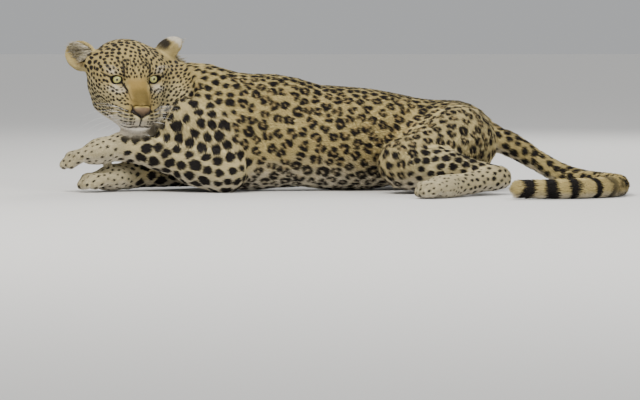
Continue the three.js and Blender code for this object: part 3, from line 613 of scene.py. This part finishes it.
def paint_face(colour, black, where, shares):
    """Lays the leopard's mask over the ground colour of the head, with painted light above the nose pad
    and low on the cheeks.
    """
    rows = np.nonzero(shares[:, HEAD] > 0.02)[0]
    h = in_head(where[rows])
    h[:, 0] = np.abs(h[:, 0]) + 0.8 * cloud(where[rows], 0.02, 21)
    side, out, up = h.T
    c, b = colour[rows], black[rows]
    here = shares[rows, HEAD]
    c = mixed(c, TAN, here)
    cheek = step(side, 30, 60) * step(-up, -6, 25)
    c = mixed(c, CREAM, here * 0.65 * cheek)
    ragged = 3 * cloud(where[rows], 0.009, 22)
    half = 22 + ragged
    over_pad = step(up, -47, -38)
    bridge = step(half - side, -8, 7) * step(out, 14, 40) * step(30 - up + ragged, 0, 28) * over_pad
    c = mixed(c, GINGER, here * 0.75 * bridge)
    middle_of_nose = step(25 + ragged - side, 0, 12) * step(out, 44, 62)
    middle_of_nose = middle_of_nose * step(95 - out, 0, 12) * step(30 - up, 0, 20)
    c = mixed(c, OLIVE, here * 0.78 * middle_of_nose * over_pad)
    # Just above the nose pad the fur is painted a lighter tan: painted light over the shade of the
    # groove where pad and fur meet.
    c = mixed(c, TAN * 1.15, here * 0.8 * step(22 - side, 0, 8) * step(out, 84, 93) * over_pad)
    flank_of_nose = step(36 - side, 0, 14) * step(out, 36, 60) * step(-up, 4, 14) * step(up, -50, -38)
    c = mixed(c, GINGER, here * 0.45 * flank_of_nose * (1 - bridge))
    pads = step(out, 36, 62) * step(-up, 44, 56) * step(60 - side, 0, 14)
    c = mixed(c, CREAM, here * 0.8 * pads)
    c = mixed(c, WHITE, here * 0.85 * pads * step(-up, 56, 72))
    chin = step(out, -10, 25) * step(-up, 78, 88)
    throat = step(-up, 88, 104)
    c = mixed(c, WHITE, here * np.maximum(chin, 0.8 * throat))
    # Low on the back of each cheek the colour is lifted towards cream: painted light over the shade
    # there.
    cheek_painted_light = step(side, 40, 62) * step(-up, 30, 62) * step(-out, -34, 0)
    c = mixed(c, CREAM, here * 0.5 * cheek_painted_light)
    over_eye = step(1 - np.hypot((side - 56) / 21, (up - 21) / 8.5), 0, 0.9) * step(out, -12, 4)
    under_eye = step(1 - np.hypot((side - 53) / 24, (up + 13) / 8.0), 0, 0.9) * step(out, 0, 12)
    beside_nose = step(1 - np.hypot((side - 35) / 9, (up + 8) / 10), 0, 0.9) * step(out, 20, 34)
    c = mixed(c, WHITE, here * np.clip(0.55 * over_eye + 0.62 * under_eye + 0.4 * beside_nose, 0, 1))
    for start, end, wide, narrow, strength in face_lines:
        away, t = near_line(h, start, end)
        line = step(wide + (narrow - wide) * t - away, -0.9, 0.9) * strength
        b = np.maximum(b, line * here)
    lid_side = (side - 46) * 0.961 + (up - 3) * 0.276
    lid_up = (up - 3) * 0.961 - (side - 46) * 0.276
    lid = np.hypot(lid_side / 16.5, lid_up / 11.0)
    b = np.maximum(b, here * step(1.04 - lid, 0, 0.14) * step(out, -6, 2))
    for start, end in whisker_rows:
        away, t = near_line(h, start, end)
        dash = step(np.cos(2 * math.pi * (t * 2.8 + 0.13 * start[0])), -1.1, -0.55)
        b = np.maximum(b, 0.95 * step(2.7 - away, -0.7, 0.7) * dash * here)
    for dot in chin_dots:
        away = np.linalg.norm(h - dot, axis=1)
        b = np.maximum(b, step(1.7 - away, -0.8, 0.8) * 0.8 * here)
    colour[rows], black[rows] = c, b


def paint_ears(colour, black, where, normal, shares):
    """Black back with a white patch near the tip, pale hairy cup darkened deep in its hollow with
    painted shade.
    """
    for root, opening, tip in ear_frames:
        near = np.linalg.norm(where - root, axis=1) < 0.09
        rows = np.nonzero((shares[:, EAR] > 0.03) & near)[0]
        if not len(rows):
            continue
        tip = unit((tip - tip @ opening * opening / (opening @ opening))[None])[0]
        across = np.cross(opening, tip)
        height = (where[rows] - root) @ tip * 1000
        aside = np.abs((where[rows] - root) @ across) * 1000
        here = shares[rows, EAR]
        facing = step(normal[rows] @ opening, -0.15, 0.35)
        ragged = 2.5 * cloud(where[rows], 0.008, 31)
        c = mixed(colour[rows], TAN, here)
        # Deep in the cup the colour goes dark grey-brown: painted shade in the hollow of the ear.
        depth = step(40 + 2 * ragged - height, 0, 26) * step(30 - aside, 0, 14)
        cup = mixed(c, EAR_HOLLOW_SHADE, 0.9 * depth)
        back = step(1 - np.hypot((aside + ragged) / 33, (height - 20 + 2 * ragged) / 25), 0, 0.35)
        patch = step(height + 1.5 * ragged, 36, 44) * step(66 - height, 0, 8)
        outside = mixed(mixed(c, BLACK, 0.96 * back), WHITE, 0.9 * patch)
        colour[rows] = mixed(colour[rows], outside + (cup - outside) * facing[:, None], here)


def coat_colour(where, normal, shares, tail_at):
    """The colour of the hair at each place on the hide."""
    count = len(where)
    part = {name: shares[:, k] for k, name in enumerate(parts)}
    high = where[:, 2]
    colour = np.tile(TAWNY, (count, 1))
    limb = part["forearm"] + part["shank"] + 0.6 * part["upper_arm"] + 0.5 * part["thigh"]
    feet = part["paw_front"] + part["paw_hind"] + 0.8 * part["foot"]
    colour = mixed(colour, CREAM, np.clip(0.75 * limb + feet, 0, 1))
    colour = mixed(colour, WHITE, np.clip(0.15 * feet, 0, 1))
    # The feet are darkened a little: partly their dust, partly painted shade.
    colour = colour * (1 - 0.13 * np.clip(feet, 0, 1))[:, None]
    under = step(-normal[:, 2] + 0.12 * cloud(where, 0.02, 3), 0.1, 1.0) * (1 - part["head"])
    side = step(0.085 - high, 0, 0.085) * part["trunk"]
    colour = mixed(colour, CREAM, np.clip(side, 0, 1))
    colour = mixed(colour, WHITE, np.clip(0.7 * under, 0, 1))
    shade = 1 + 0.07 * cloud(where, 0.05, 1) + 0.07 * cloud(where, 0.006, 2)
    colour = colour * shade[:, None]
    black, middle = spots(where, normal, *seed_table)
    colour = mixed(colour, RING_MIDDLE, 0.45 * middle * (1 - 0.8 * under))
    bands = np.sin(tail_at * 2 * math.pi / TAIL_BAND + 1.2 * cloud(where, 0.03, 8))
    banded = step(tail_at, *BANDS_BEGIN) * part["tail"]
    black = np.maximum(black * (1 - banded), step(bands, -0.25, 0.25) * banded)
    black = np.maximum(black, step(tail_at, *BLACK_TIP) * part["tail"])
    black = black * (1 - bare_of_spots(in_head(where)) * part["head"])
    paint_face(colour, black, where, shares)
    paint_ears(colour, black, where, normal, shares)
    return mixed(colour, BLACK, black)


def paint(thing, colours):
    """Lays a colour on each point of a piece."""
    table = thing.data.color_attributes.new("hair_colour", "FLOAT_COLOR", "POINT")
    flat = np.ones((len(colours), 4), np.float32)
    flat[:, :3] = np.clip(colours, 0, 1)
    table.data.foreach_set("color", flat.ravel())


def painted(nodes):
    """The node that gives a finish the colours laid by paint."""
    colours = nodes.new("ShaderNodeVertexColor")
    colours.layer_name = "hair_colour"
    return colours.outputs["Color"]


paint(skin, coat_colour(points, normals, share, tail_place))
fur, fur_nodes = new_finish("spotted_fur", {"Roughness": 0.7, "Specular IOR Level": 0.3})
fur_shader = fur_nodes["Principled BSDF"]
strand_place = fur_nodes.new("ShaderNodeTexCoord")
strands = fur_nodes.new("ShaderNodeTexNoise")
strands.inputs["Scale"].default_value = 1100
strands.inputs["Detail"].default_value = 3
strand_shade = fur_nodes.new("ShaderNodeValToRGB")
strand_shade.color_ramp.elements[0].position = 0.30
strand_shade.color_ramp.elements[0].color = (0.80, 0.79, 0.77, 1)
strand_shade.color_ramp.elements[1].position = 0.70
strand_shade.color_ramp.elements[1].color = (1.0, 1.0, 1.0, 1)
strand_mix = fur_nodes.new("ShaderNodeMix")
strand_mix.data_type = "RGBA"
strand_mix.blend_type = "MULTIPLY"
strand_mix.inputs[0].default_value = 1.0
strand_bump = fur_nodes.new("ShaderNodeBump")
strand_bump.inputs["Strength"].default_value = 0.25
strand_bump.inputs["Distance"].default_value = 0.0003
wire(
    fur,
    (strand_place.outputs["Object"], strands.inputs["Vector"]),
    (strands.outputs["Fac"], strand_shade.inputs["Fac"]),
    (painted(fur_nodes), strand_mix.inputs[6]),
    (strand_shade.outputs["Color"], strand_mix.inputs[7]),
    (strand_mix.outputs[2], fur_shader.inputs["Base Color"]),
    (strands.outputs["Fac"], strand_bump.inputs["Height"]),
    (strand_bump.outputs["Normal"], fur_shader.inputs["Normal"]),
)
skin.data.materials.append(fur)
for polygon in skin.data.polygons:
    polygon.use_smooth = True
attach(skin, "root")
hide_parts(*flesh)

# The coat is short hair that lies back from the nose, along the body and down the legs. It is
# set over the skin in thin overlapping tufts, each a closed sliver with its root in the hide.
TUFT_PATCH = 0.003
TUFTS_IN_A_PIECE = 48000
ROOT_DEPTH = 0.0004
LOWEST_HAIR = 0.0004
EYE_ASIDE = 41
EYE_SOCKET = 0.0185
SLIVER = [(0, 3, 2), (1, 2, 3), (0, 2, 1), (0, 1, 3)]
pick_only(skin)
skin.data.uv_layers.new(name="OFBake")
bpy.ops.object.mode_set(mode="EDIT")
bpy.ops.mesh.select_all(action="SELECT")
bpy.ops.uv.smart_project(angle_limit=math.radians(66), island_margin=0.002)
bpy.ops.object.mode_set(mode="OBJECT")
skin.data.calc_loop_triangles()
patches = np.empty(len(skin.data.loop_triangles) * 3, np.int32)
skin.data.loop_triangles.foreach_get("vertices", patches)
patches = patches.reshape(-1, 3)
patch_loops = np.empty(len(patches) * 3, np.int32)
skin.data.loop_triangles.foreach_get("loops", patch_loops)
patch_loops = patch_loops.reshape(-1, 3)
unwrapped = np.empty(len(skin.data.loops) * 2, np.float32)
skin.data.uv_layers["OFBake"].data.foreach_get("uv", unwrapped)
unwrapped = unwrapped.reshape(-1, 2)


def hair_mesh(name, corners, faces, colours, places):
    """A mesh of many small closed slivers: corners and colours for each, and its bake patch."""
    count, each = corners.shape[:2]
    mesh = bpy.data.meshes.new(name)
    mesh.vertices.add(count * each)
    mesh.vertices.foreach_set("co", corners.astype(np.float32).ravel())
    faces = np.asarray(faces, np.int32)
    loops = (faces[None] + (np.arange(count) * each)[:, None, None]).reshape(-1)
    mesh.loops.add(len(loops))
    mesh.loops.foreach_set("vertex_index", loops.astype(np.int32))
    mesh.polygons.add(count * len(faces))
    mesh.polygons.foreach_set("loop_start", np.arange(0, len(loops), 3, dtype=np.int32))
    mesh.polygons.foreach_set("use_smooth", np.ones(count * len(faces), bool))
    mesh.update(calc_edges=True)
    around = np.linspace(0, 2 * math.pi, each, endpoint=False)
    patch = np.stack([np.cos(around), np.sin(around)], 1) * TUFT_PATCH / 2
    flat = (places[:, None] + patch[None]).reshape(-1, 2)[loops]
    mesh.uv_layers.new(name="OFBake").data.foreach_set("uv", flat.astype(np.float32).ravel())
    made = bpy.data.objects.new(name, mesh)
    bpy.context.scene.collection.objects.link(made)
    paint(made, colours.reshape(-1, 3))
    made.data.materials.append(fur)
    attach(made, "root")


edges_a = points[patches[:, 1]] - points[patches[:, 0]]
edges_b = points[patches[:, 2]] - points[patches[:, 0]]
area = np.linalg.norm(np.cross(edges_a, edges_b), axis=1) / 2
spacing = coat_sizes[patches].mean(1)[:, 2] * 1.04 / 1000
wanted = area / spacing**2
wanted[(points[patches][:, :, 2] < 0.0025).all(1)] = 0
socket = np.zeros(len(patches), bool)
patch_middles = points[patches].mean(1)
for aside in (EYE_ASIDE, -EYE_ASIDE):
    socket |= np.linalg.norm(patch_middles - from_head([aside, 0, 0]), axis=1) < EYE_SOCKET
socket |= np.linalg.norm((in_head(patch_middles) - [0, 87, -46]) / [21, 17, 15], axis=1) < 1
wanted[socket] = 0
ends = np.floor(np.cumsum(wanted) + 0.5).astype(int)
amounts = np.diff(np.concatenate([[0], ends]))
home = np.repeat(np.arange(len(patches)), amounts)
draw = np.random.default_rng(23)
r1, r2 = draw.random((2, len(home)))
over = r1 + r2 > 1
r1[over], r2[over] = 1 - r1[over], 1 - r2[over]
shares_in = np.stack([1 - r1 - r2, r1, r2], 1)


def at_roots(values):
    return (values[patches[home]] * shares_in[:, :, None]).sum(1)


roots, up, flow = at_roots(points), unit(at_roots(normals)), at_roots(lie)
tuft_share, tuft_size = at_roots(share), at_roots(coat_sizes)
places = (unwrapped[patch_loops[home]] * shares_in[:, :, None]).sum(1)
tuft_tail = (tail_place[patches[home]] * shares_in).sum(1)
flow = unit(flow - (flow * up).sum(1, keepdims=True) * up)
side = np.cross(up, flow)
sway = 0.16 * cloud(roots, 0.012, 41) + 0.10 * draw.normal(size=len(home))
flow = unit(flow + side * sway[:, None])
side = np.cross(up, flow)
long = tuft_size[:, 1] * draw.uniform(0.75, 1.2, len(home)) / 1000
wide = tuft_size[:, 2] * draw.uniform(0.75, 1.2, len(home)) / 1000
lift = np.radians(tuft_size[:, 3] * draw.uniform(0.6, 1.5, len(home)))
tuft_tint = draw.uniform(0.86, 1.12, len(home))[:, None]
near_tips, near_middles = roots + flow * long[:, None] * 0.92, roots + flow * long[:, None] * 0.45
tip_tint = coat_colour(near_tips, up, tuft_share, tuft_tail) * tuft_tint
mid_tint = coat_colour(near_middles, up, tuft_share, tuft_tail) * tuft_tint

corners = np.empty((len(home), 4, 3))
corners[:, 0] = roots - side * wide[:, None] / 2 - up * ROOT_DEPTH
corners[:, 1] = roots + side * wide[:, None] / 2 - up * ROOT_DEPTH
rise = 0.30 * long * np.tan(lift) + 0.22 * wide
corners[:, 2] = roots + flow * long[:, None] * 0.30 + up * rise[:, None]
curl = side * (long * 0.08 * draw.normal(size=len(home)))[:, None]
tips = roots + flow * (long * np.cos(lift))[:, None] + up * (long * np.sin(lift) * 0.85)[:, None]
corners[:, 3] = tips + curl
corners[:, :, 2] = np.maximum(corners[:, :, 2], LOWEST_HAIR)
# Each tuft is darker at its root and lighter at its tip: painted shade deep in the coat and painted
# light on its surface.
colours = np.stack([mid_tint * 0.85, mid_tint * 0.85, mid_tint, tip_tint * 1.08], 1)
groups = {
    "head": ("head", "ear"),
    "neck": ("neck",),
    "trunk": ("trunk",),
    "forelegs": ("upper_arm", "forearm", "paw_front"),
    "hind_legs": ("thigh", "shank", "foot", "paw_hind"),
    "tail": ("tail",),
}
owner = tuft_share.argmax(1)
for label, members in groups.items():
    mine = np.nonzero(np.isin(owner, [parts.index(m) for m in members]))[0]
    mine = mine[np.argsort(roots[mine, 0], kind="stable")]
    pieces = max(1, math.ceil(len(mine) / TUFTS_IN_A_PIECE))
    for k, chunk in enumerate(np.array_split(mine, pieces)):
        name = "coat_" + label + ("_%d" % (k + 1) if pieces > 1 else "")
        hair_mesh(name, corners[chunk], SLIVER, colours[chunk], places[chunk])

# Long pale hairs stand across each ear's cup, from its inner edge and its foot. They are single
# tapered locks, longer and looser than the coat.
EAR_LOCKS = 420
draw = np.random.default_rng(37)
skin_now = BVHTree.FromPolygons(points.tolist(), patches.tolist())
lock_corners, lock_colours, lock_places = [], [], []
for root, opening, tip in ear_frames:
    opening = opening / np.linalg.norm(opening)
    tip = tip - tip @ opening * opening
    tip = tip / np.linalg.norm(tip)
    across = np.cross(opening, tip)
    if across @ head_axes[0] * (1 if root[0] < head_origin[0] else -1) > 0:
        across = -across
    for k in range(EAR_LOCKS):
        height = draw.uniform(6, 54)
        edge = 27 * math.sqrt(max(0.05, 1 - ((height - 24) / 42) ** 2))
        aside = edge * (1 - 1.25 * draw.random() ** 1.6)
        start = root + (tip * height + across * aside + opening * 30) / 1000
        found = skin_now.ray_cast(start.tolist(), (-opening).tolist())
        if found[0] is None or found[3] > 0.07:
            continue
        base = np.array(found[0]) - opening * 0.0008
        long = draw.uniform(0.014, 0.026) * (1.1 if aside > 8 else 0.8)
        way = -across * draw.uniform(0.45, 0.95) + tip * draw.uniform(0.1, 0.75)
        way = way + opening * draw.uniform(0.25, 0.5)
        way = way / np.linalg.norm(way)
        flat_way = np.cross(way, opening)
        flat_way = flat_way / np.linalg.norm(flat_way)
        wide = draw.uniform(0.0006, 0.0011)
        middle = base + way * long * 0.4 + opening * 0.0012
        end = base + way * long + tip * long * 0.12
        left, right = base - flat_way * wide, base + flat_way * wide
        lock_corners.append([left, right, middle + opening * wide, end])
        shade = CREAM + (WHITE - CREAM) * draw.random()
        shade = shade * draw.uniform(0.75, 1.1)
        # Each lock is much darker at its root and lighter at its tip: painted shade deep in the ear and
        # painted light on the tips.
        lock_colours.append([shade * 0.55, shade * 0.55, shade * 0.95, shade * 1.1])
        lock_places.append(unwrapped[patch_loops[found[2]][0]])
lock_corners, lock_colours = np.array(lock_corners), np.array(lock_colours)
hair_mesh("coat_ear_hair", lock_corners, SLIVER, lock_colours, np.array(lock_places))

# The eyes are wet yellow-green balls with small round pupils, each turned to the camera and
# seated in its socket behind a rim of bare black skin, the edge of the lids, that hugs the ball.
EYE_RADIUS = 17.0
EYE_SWELL = 1.3
PUPIL = 2.9
IRIS_REACH = 9.2
AROUND = 48
IRIS = np.array([0.700, 0.700, 0.250])
IRIS_EDGE = np.array([0.200, 0.240, 0.050])
IRIS_HEART = np.array([0.620, 0.570, 0.190])
EYE_BROWN = np.array([0.055, 0.035, 0.022])
eye_looks = {"right": np.array([0.16, -0.95, -0.26]), "left": np.array([0.46, -0.86, -0.22])}
# The lids' opening is drawn once and grown by these scales, each ring at its own distance from
# the middle of the eye.
rim_rings = [
    (0.90, 16.6), (0.97, 17.7), (1.04, 18.9), (1.16, 19.8), (1.32, 20.0), (1.55, 18.6), (1.5, 16.6)
]
rim_slant, rim_outward = math.radians(16), math.radians(-12)
eye_gloss, eye_nodes = new_finish(
    "wet_eye", {"Roughness": 0.12, "IOR": 1.38, "Coat Weight": 1.0, "Coat Roughness": 0.02}
)
wire(eye_gloss, (painted(eye_nodes), eye_nodes["Principled BSDF"].inputs["Base Color"]))


def ring_faces(rings, around, closed_ends=True):
    """Quads between rings of points, and a face at each end."""
    faces = []
    for k in range(rings - 1):
        for m in range(around):
            n = (m + 1) % around
            faces.append((k * around + m, k * around + n, (k + 1) * around + n, (k + 1) * around + m))
    if closed_ends:
        faces.append(tuple(reversed(range(around))))
        faces.append(tuple(range((rings - 1) * around, rings * around)))
    return faces


def face_outwards(thing):
    """Turns every face of a closed piece outwards and shades it smooth."""
    pick_only(thing)
    bpy.ops.object.mode_set(mode="EDIT")
    bpy.ops.mesh.select_all(action="SELECT")
    bpy.ops.mesh.normals_make_consistent(inside=False)
    bpy.ops.object.mode_set(mode="OBJECT")
    bpy.ops.object.shade_smooth()


def eye_colour(angle, grain):
    """The colour of the ball at an angle from its gaze."""
    reach_out = EYE_RADIUS * math.sin(angle) if angle < 1.57 else EYE_RADIUS
    if reach_out < PUPIL:
        return BLACK * 0.5
    if reach_out >= IRIS_REACH:
        return EYE_BROWN
    t = (reach_out - PUPIL) / (IRIS_REACH - PUPIL)
    shade = IRIS_HEART + (IRIS - IRIS_HEART) * min(1, t * 2.6)
    shade = shade * (0.82 + 0.30 * grain[0] * (0.4 + 0.6 * grain[1]))
    return shade + (IRIS_EDGE - shade) * max(0, (t - 0.86) / 0.14)


def rim_place(turn, scale, radius):
    """A point on the lids' rim, from the middle of the eye, outer corner to the right."""
    c, z = math.cos(turn), math.sin(turn)
    x = 12.0 * c * scale - 1.4 * max(0, -c) ** 3
    h = (8.3 if z > 0 else 7.9) * z * (0.80 + 0.20 * abs(z)) * (1 + (scale - 1) * 1.1)
    h = h - 1.8 * max(0, -c) ** 3 + 1.6
    y = math.sqrt(max(radius**2 - x * x - h * h, 1))
    about_y = np.array([
        [math.cos(rim_slant), 0, math.sin(rim_slant)],
        [0, 1, 0],
        [-math.sin(rim_slant), 0, math.cos(rim_slant)],
    ])
    about_z = np.array([
        [math.cos(rim_outward), -math.sin(rim_outward), 0],
        [math.sin(rim_outward), math.cos(rim_outward), 0],
        [0, 0, 1],
    ])
    return about_z @ about_y @ np.array([x, y, h])


angles = np.radians(np.concatenate([np.linspace(1.5, 34, 24), np.linspace(38, 178, 22)]))
turns = np.linspace(0, 2 * math.pi, AROUND, endpoint=False)
for label, sign in (("right", 1), ("left", -1)):
    centre = from_head([EYE_ASIDE * sign, 0, 0])
    gaze = eye_looks[label] / np.linalg.norm(eye_looks[label])
    aside = np.cross(gaze, [0, 0, 1])
    aside /= np.linalg.norm(aside)
    upward = np.cross(aside, gaze)
    grain = np.random.default_rng(5).random((AROUND, 3))
    ball, tone = [], []
    for angle in angles:
        swell = EYE_RADIUS + EYE_SWELL * max(0.0, 1 - (math.degrees(angle) / 33) ** 2)
        for turn, streak in zip(turns, grain):
            spoke = math.cos(turn) * aside + math.sin(turn) * upward
            ball.append(centre + (math.cos(angle) * gaze + math.sin(angle) * spoke) * swell / 1000)
            tone.append(eye_colour(angle, streak))
    eye = as_object("eyeball_" + label, ball, ring_faces(len(angles), AROUND))
    face_outwards(eye)
    paint(eye, np.array(tone))
    eye.data.materials.append(eye_gloss)
    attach(eye, "root")
    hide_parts("eye_" + label)

    rings = []
    for scale, radius in rim_rings:
        for turn in turns:
            p = rim_place(turn, scale, radius)
            rings.append([(p[0] + EYE_ASIDE) * sign, p[1], p[2]])
    last = (len(rim_rings) - 1) * AROUND
    hem = [(last + m, last + (m + 1) % AROUND, (m + 1) % AROUND, m) for m in range(AROUND)]
    rim_faces = ring_faces(len(rim_rings), AROUND, False) + hem
    rim = as_object("eye_rim_" + label, from_head(rings), rim_faces)
    face_outwards(rim)
    paint(rim, np.tile(BLACK * 1.2, (len(rings), 1)))
    rim.data.materials.append(fur)
    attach(rim, "root")

# The nose pad is bare, finely grained leather that ends the muzzle: warm brown, black along its
# lower edge and wings, with a comma-shaped nostril on each side and fur down to its upper edge.
PAD_GRAIN = 0.0009
NOSTRIL_DEPTH = 0.0045
CREASE_DEPTH = 0.0008
NOSE_BROWN = np.array([0.120, 0.076, 0.040])
nostril_line = [(5.5, 103, -52), (12, 101, -47), (20.5, 92, -42)]
sheet = bmesh.new()
sheet.from_mesh(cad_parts["nose"].data)
bmesh.ops.remove_doubles(sheet, verts=sheet.verts, dist=1e-6)
nose_mesh = bpy.data.meshes.new("nose_pad")
sheet.to_mesh(nose_mesh)
sheet.free()
nose = bpy.data.objects.new("nose_pad", nose_mesh)
bpy.context.scene.collection.objects.link(nose)
finish_with(nose, "REMESH", mode="VOXEL", voxel_size=PAD_GRAIN)
finish_with(nose, "SMOOTH", factor=0.5, iterations=10)
pad = points_of(nose)
h = in_head(pad)
h[:, 0] = np.abs(h[:, 0])
side, out, up = h.T
away = np.minimum(near_line(h, *nostril_line[:2])[0], near_line(h, *nostril_line[1:])[0])
nostril = step(3.6 - away, 0, 3.0)
crease = step(1.8 - side, 0, 1.8) * step(-up, 44, 50)
sunk = NOSTRIL_DEPTH * nostril + CREASE_DEPTH * crease + 0.0002 * cloud(pad, 0.0016, 51)
pad = pad - normals_of(nose) * sunk[:, None]
move_points(nose, pad)
low_edge = step(-up - 50 + 0.25 * side, 0, 6)
wing = step(side, 15, 20)
furred_edge = step(94 - out, 0, 8) * step(up + 37, 0, 4)
shades = np.tile(NOSE_BROWN, (len(pad), 1)) * (1 + 0.18 * cloud(pad, 0.004, 52))[:, None]
# The pad is painted lighter at the top and darker towards the bottom: painted light on its top and
# painted shade below.
shades = shades * (1.15 - 0.6 * step(-up, 34, 47))[:, None]
shades = mixed(shades, TAN * [1, 0.95, 0.65], 0.85 * furred_edge)
dark = np.clip(0.8 * low_edge + 0.7 * wing + 1.2 * nostril + 0.8 * crease, 0, 1)
paint(nose, mixed(shades, BLACK * 1.5, dark))
leather, leather_nodes = new_finish("nose_leather", {
    "Roughness": 0.5, "Specular IOR Level": 0.25, "Coat Weight": 0.03, "Coat Roughness": 0.25
})
leather_shader = leather_nodes["Principled BSDF"]
pebble_place = leather_nodes.new("ShaderNodeTexCoord")
pebbles = leather_nodes.new("ShaderNodeTexVoronoi")
pebbles.inputs["Scale"].default_value = 900
pebble_bump = leather_nodes.new("ShaderNodeBump")
pebble_bump.inputs["Strength"].default_value = 0.35
pebble_bump.inputs["Distance"].default_value = 0.0006
wire(
    leather,
    (painted(leather_nodes), leather_shader.inputs["Base Color"]),
    (pebble_place.outputs["Object"], pebbles.inputs["Vector"]),
    (pebbles.outputs["Distance"], pebble_bump.inputs["Height"]),
    (pebble_bump.outputs["Normal"], leather_shader.inputs["Normal"]),
)
nose.data.materials.append(leather)
bpy.ops.object.shade_smooth()
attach(nose, "root")
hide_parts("nose")

# The whiskers are stiff white bristles that grow from the dark rows on the muzzle, with a few
# over each eye; each is a thin tapered rod, curved back and down.
BRISTLE_RINGS = 9
BRISTLE_SIDES = 5
MUZZLE_BRISTLE = 0.00024
BROW_BRISTLE = 0.00018
draw = np.random.default_rng(31)


def bristle(root, way, long, thick):
    """Rings of points along a drooping line from the root."""
    way = way / np.linalg.norm(way)
    rings = []
    for t in np.linspace(0, 1, BRISTLE_RINGS):
        middle = root + way * long * t + np.array([0, 0, -1]) * long * 0.30 * t * t
        slope = way + np.array([0, 0, -1]) * 0.60 * t
        slope /= np.linalg.norm(slope)
        one = np.cross(slope, [0.3, 0.2, 0.9])
        one /= np.linalg.norm(one)
        two = np.cross(slope, one)
        radius = thick * (1 - 0.85 * t)
        for turn in np.linspace(0, 2 * math.pi, BRISTLE_SIDES, endpoint=False):
            rings.append(middle + radius * (math.cos(turn) * one + math.sin(turn) * two))
    return rings


bristle_points, bristle_faces = [], []
for sign in (1, -1):
    starts = []
    for start, end in whisker_rows[:4]:
        for t in (0.25, 0.5, 0.75, 0.95):
            place = np.array(start) + (np.array(end) - np.array(start)) * t
            starts.append((place, 0.045 + 0.04 * t, MUZZLE_BRISTLE))
    for place in ((40, 12, 26), (46, 8, 28), (52, 4, 28)):
        starts.append((np.array(place, float), 0.035, BROW_BRISTLE))
    for place, long, thick in starts:
        found = skin_now.find_nearest(from_head(place * [sign, 1, 1]).tolist())
        root = np.array(found[0]) - np.array(found[1]) * 0.001
        sideways = head_axes[0] * sign
        way = sideways * 0.9 + np.array(found[1]) * 0.45 - head_axes[1] * 0.15
        way = way + draw.normal(size=3) * 0.10 + np.array([0, 0, 0.12])
        made = bristle(root, way, long * draw.uniform(0.8, 1.25), thick)
        base = len(bristle_points)
        bristle_points += made
        one_bristle = ring_faces(BRISTLE_RINGS, BRISTLE_SIDES)
        bristle_faces += [tuple(i + base for i in f) for f in one_bristle]
whiskers = as_object("whiskers", bristle_points, bristle_faces)
bristle_white, bristle_nodes = new_finish("bristle_white", {"Roughness": 0.35})
bristle_place = bristle_nodes.new("ShaderNodeTexCoord")
bristle_cloud = bristle_nodes.new("ShaderNodeTexNoise")
bristle_cloud.inputs["Scale"].default_value = 160
bristle_ramp = bristle_nodes.new("ShaderNodeValToRGB")
bristle_ramp.color_ramp.elements[0].color = (0.70, 0.66, 0.57, 1)
bristle_ramp.color_ramp.elements[1].position = 0.6
bristle_ramp.color_ramp.elements[1].color = (0.88, 0.86, 0.82, 1)
wire(
    bristle_white,
    (bristle_place.outputs["Object"], bristle_cloud.inputs["Vector"]),
    (bristle_cloud.outputs["Fac"], bristle_ramp.inputs["Fac"]),
    (bristle_ramp.outputs["Color"], bristle_nodes["Principled BSDF"].inputs["Base Color"]),
)
whiskers.data.materials.append(bristle_white)
face_outwards(whiskers)
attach(whiskers, "root")
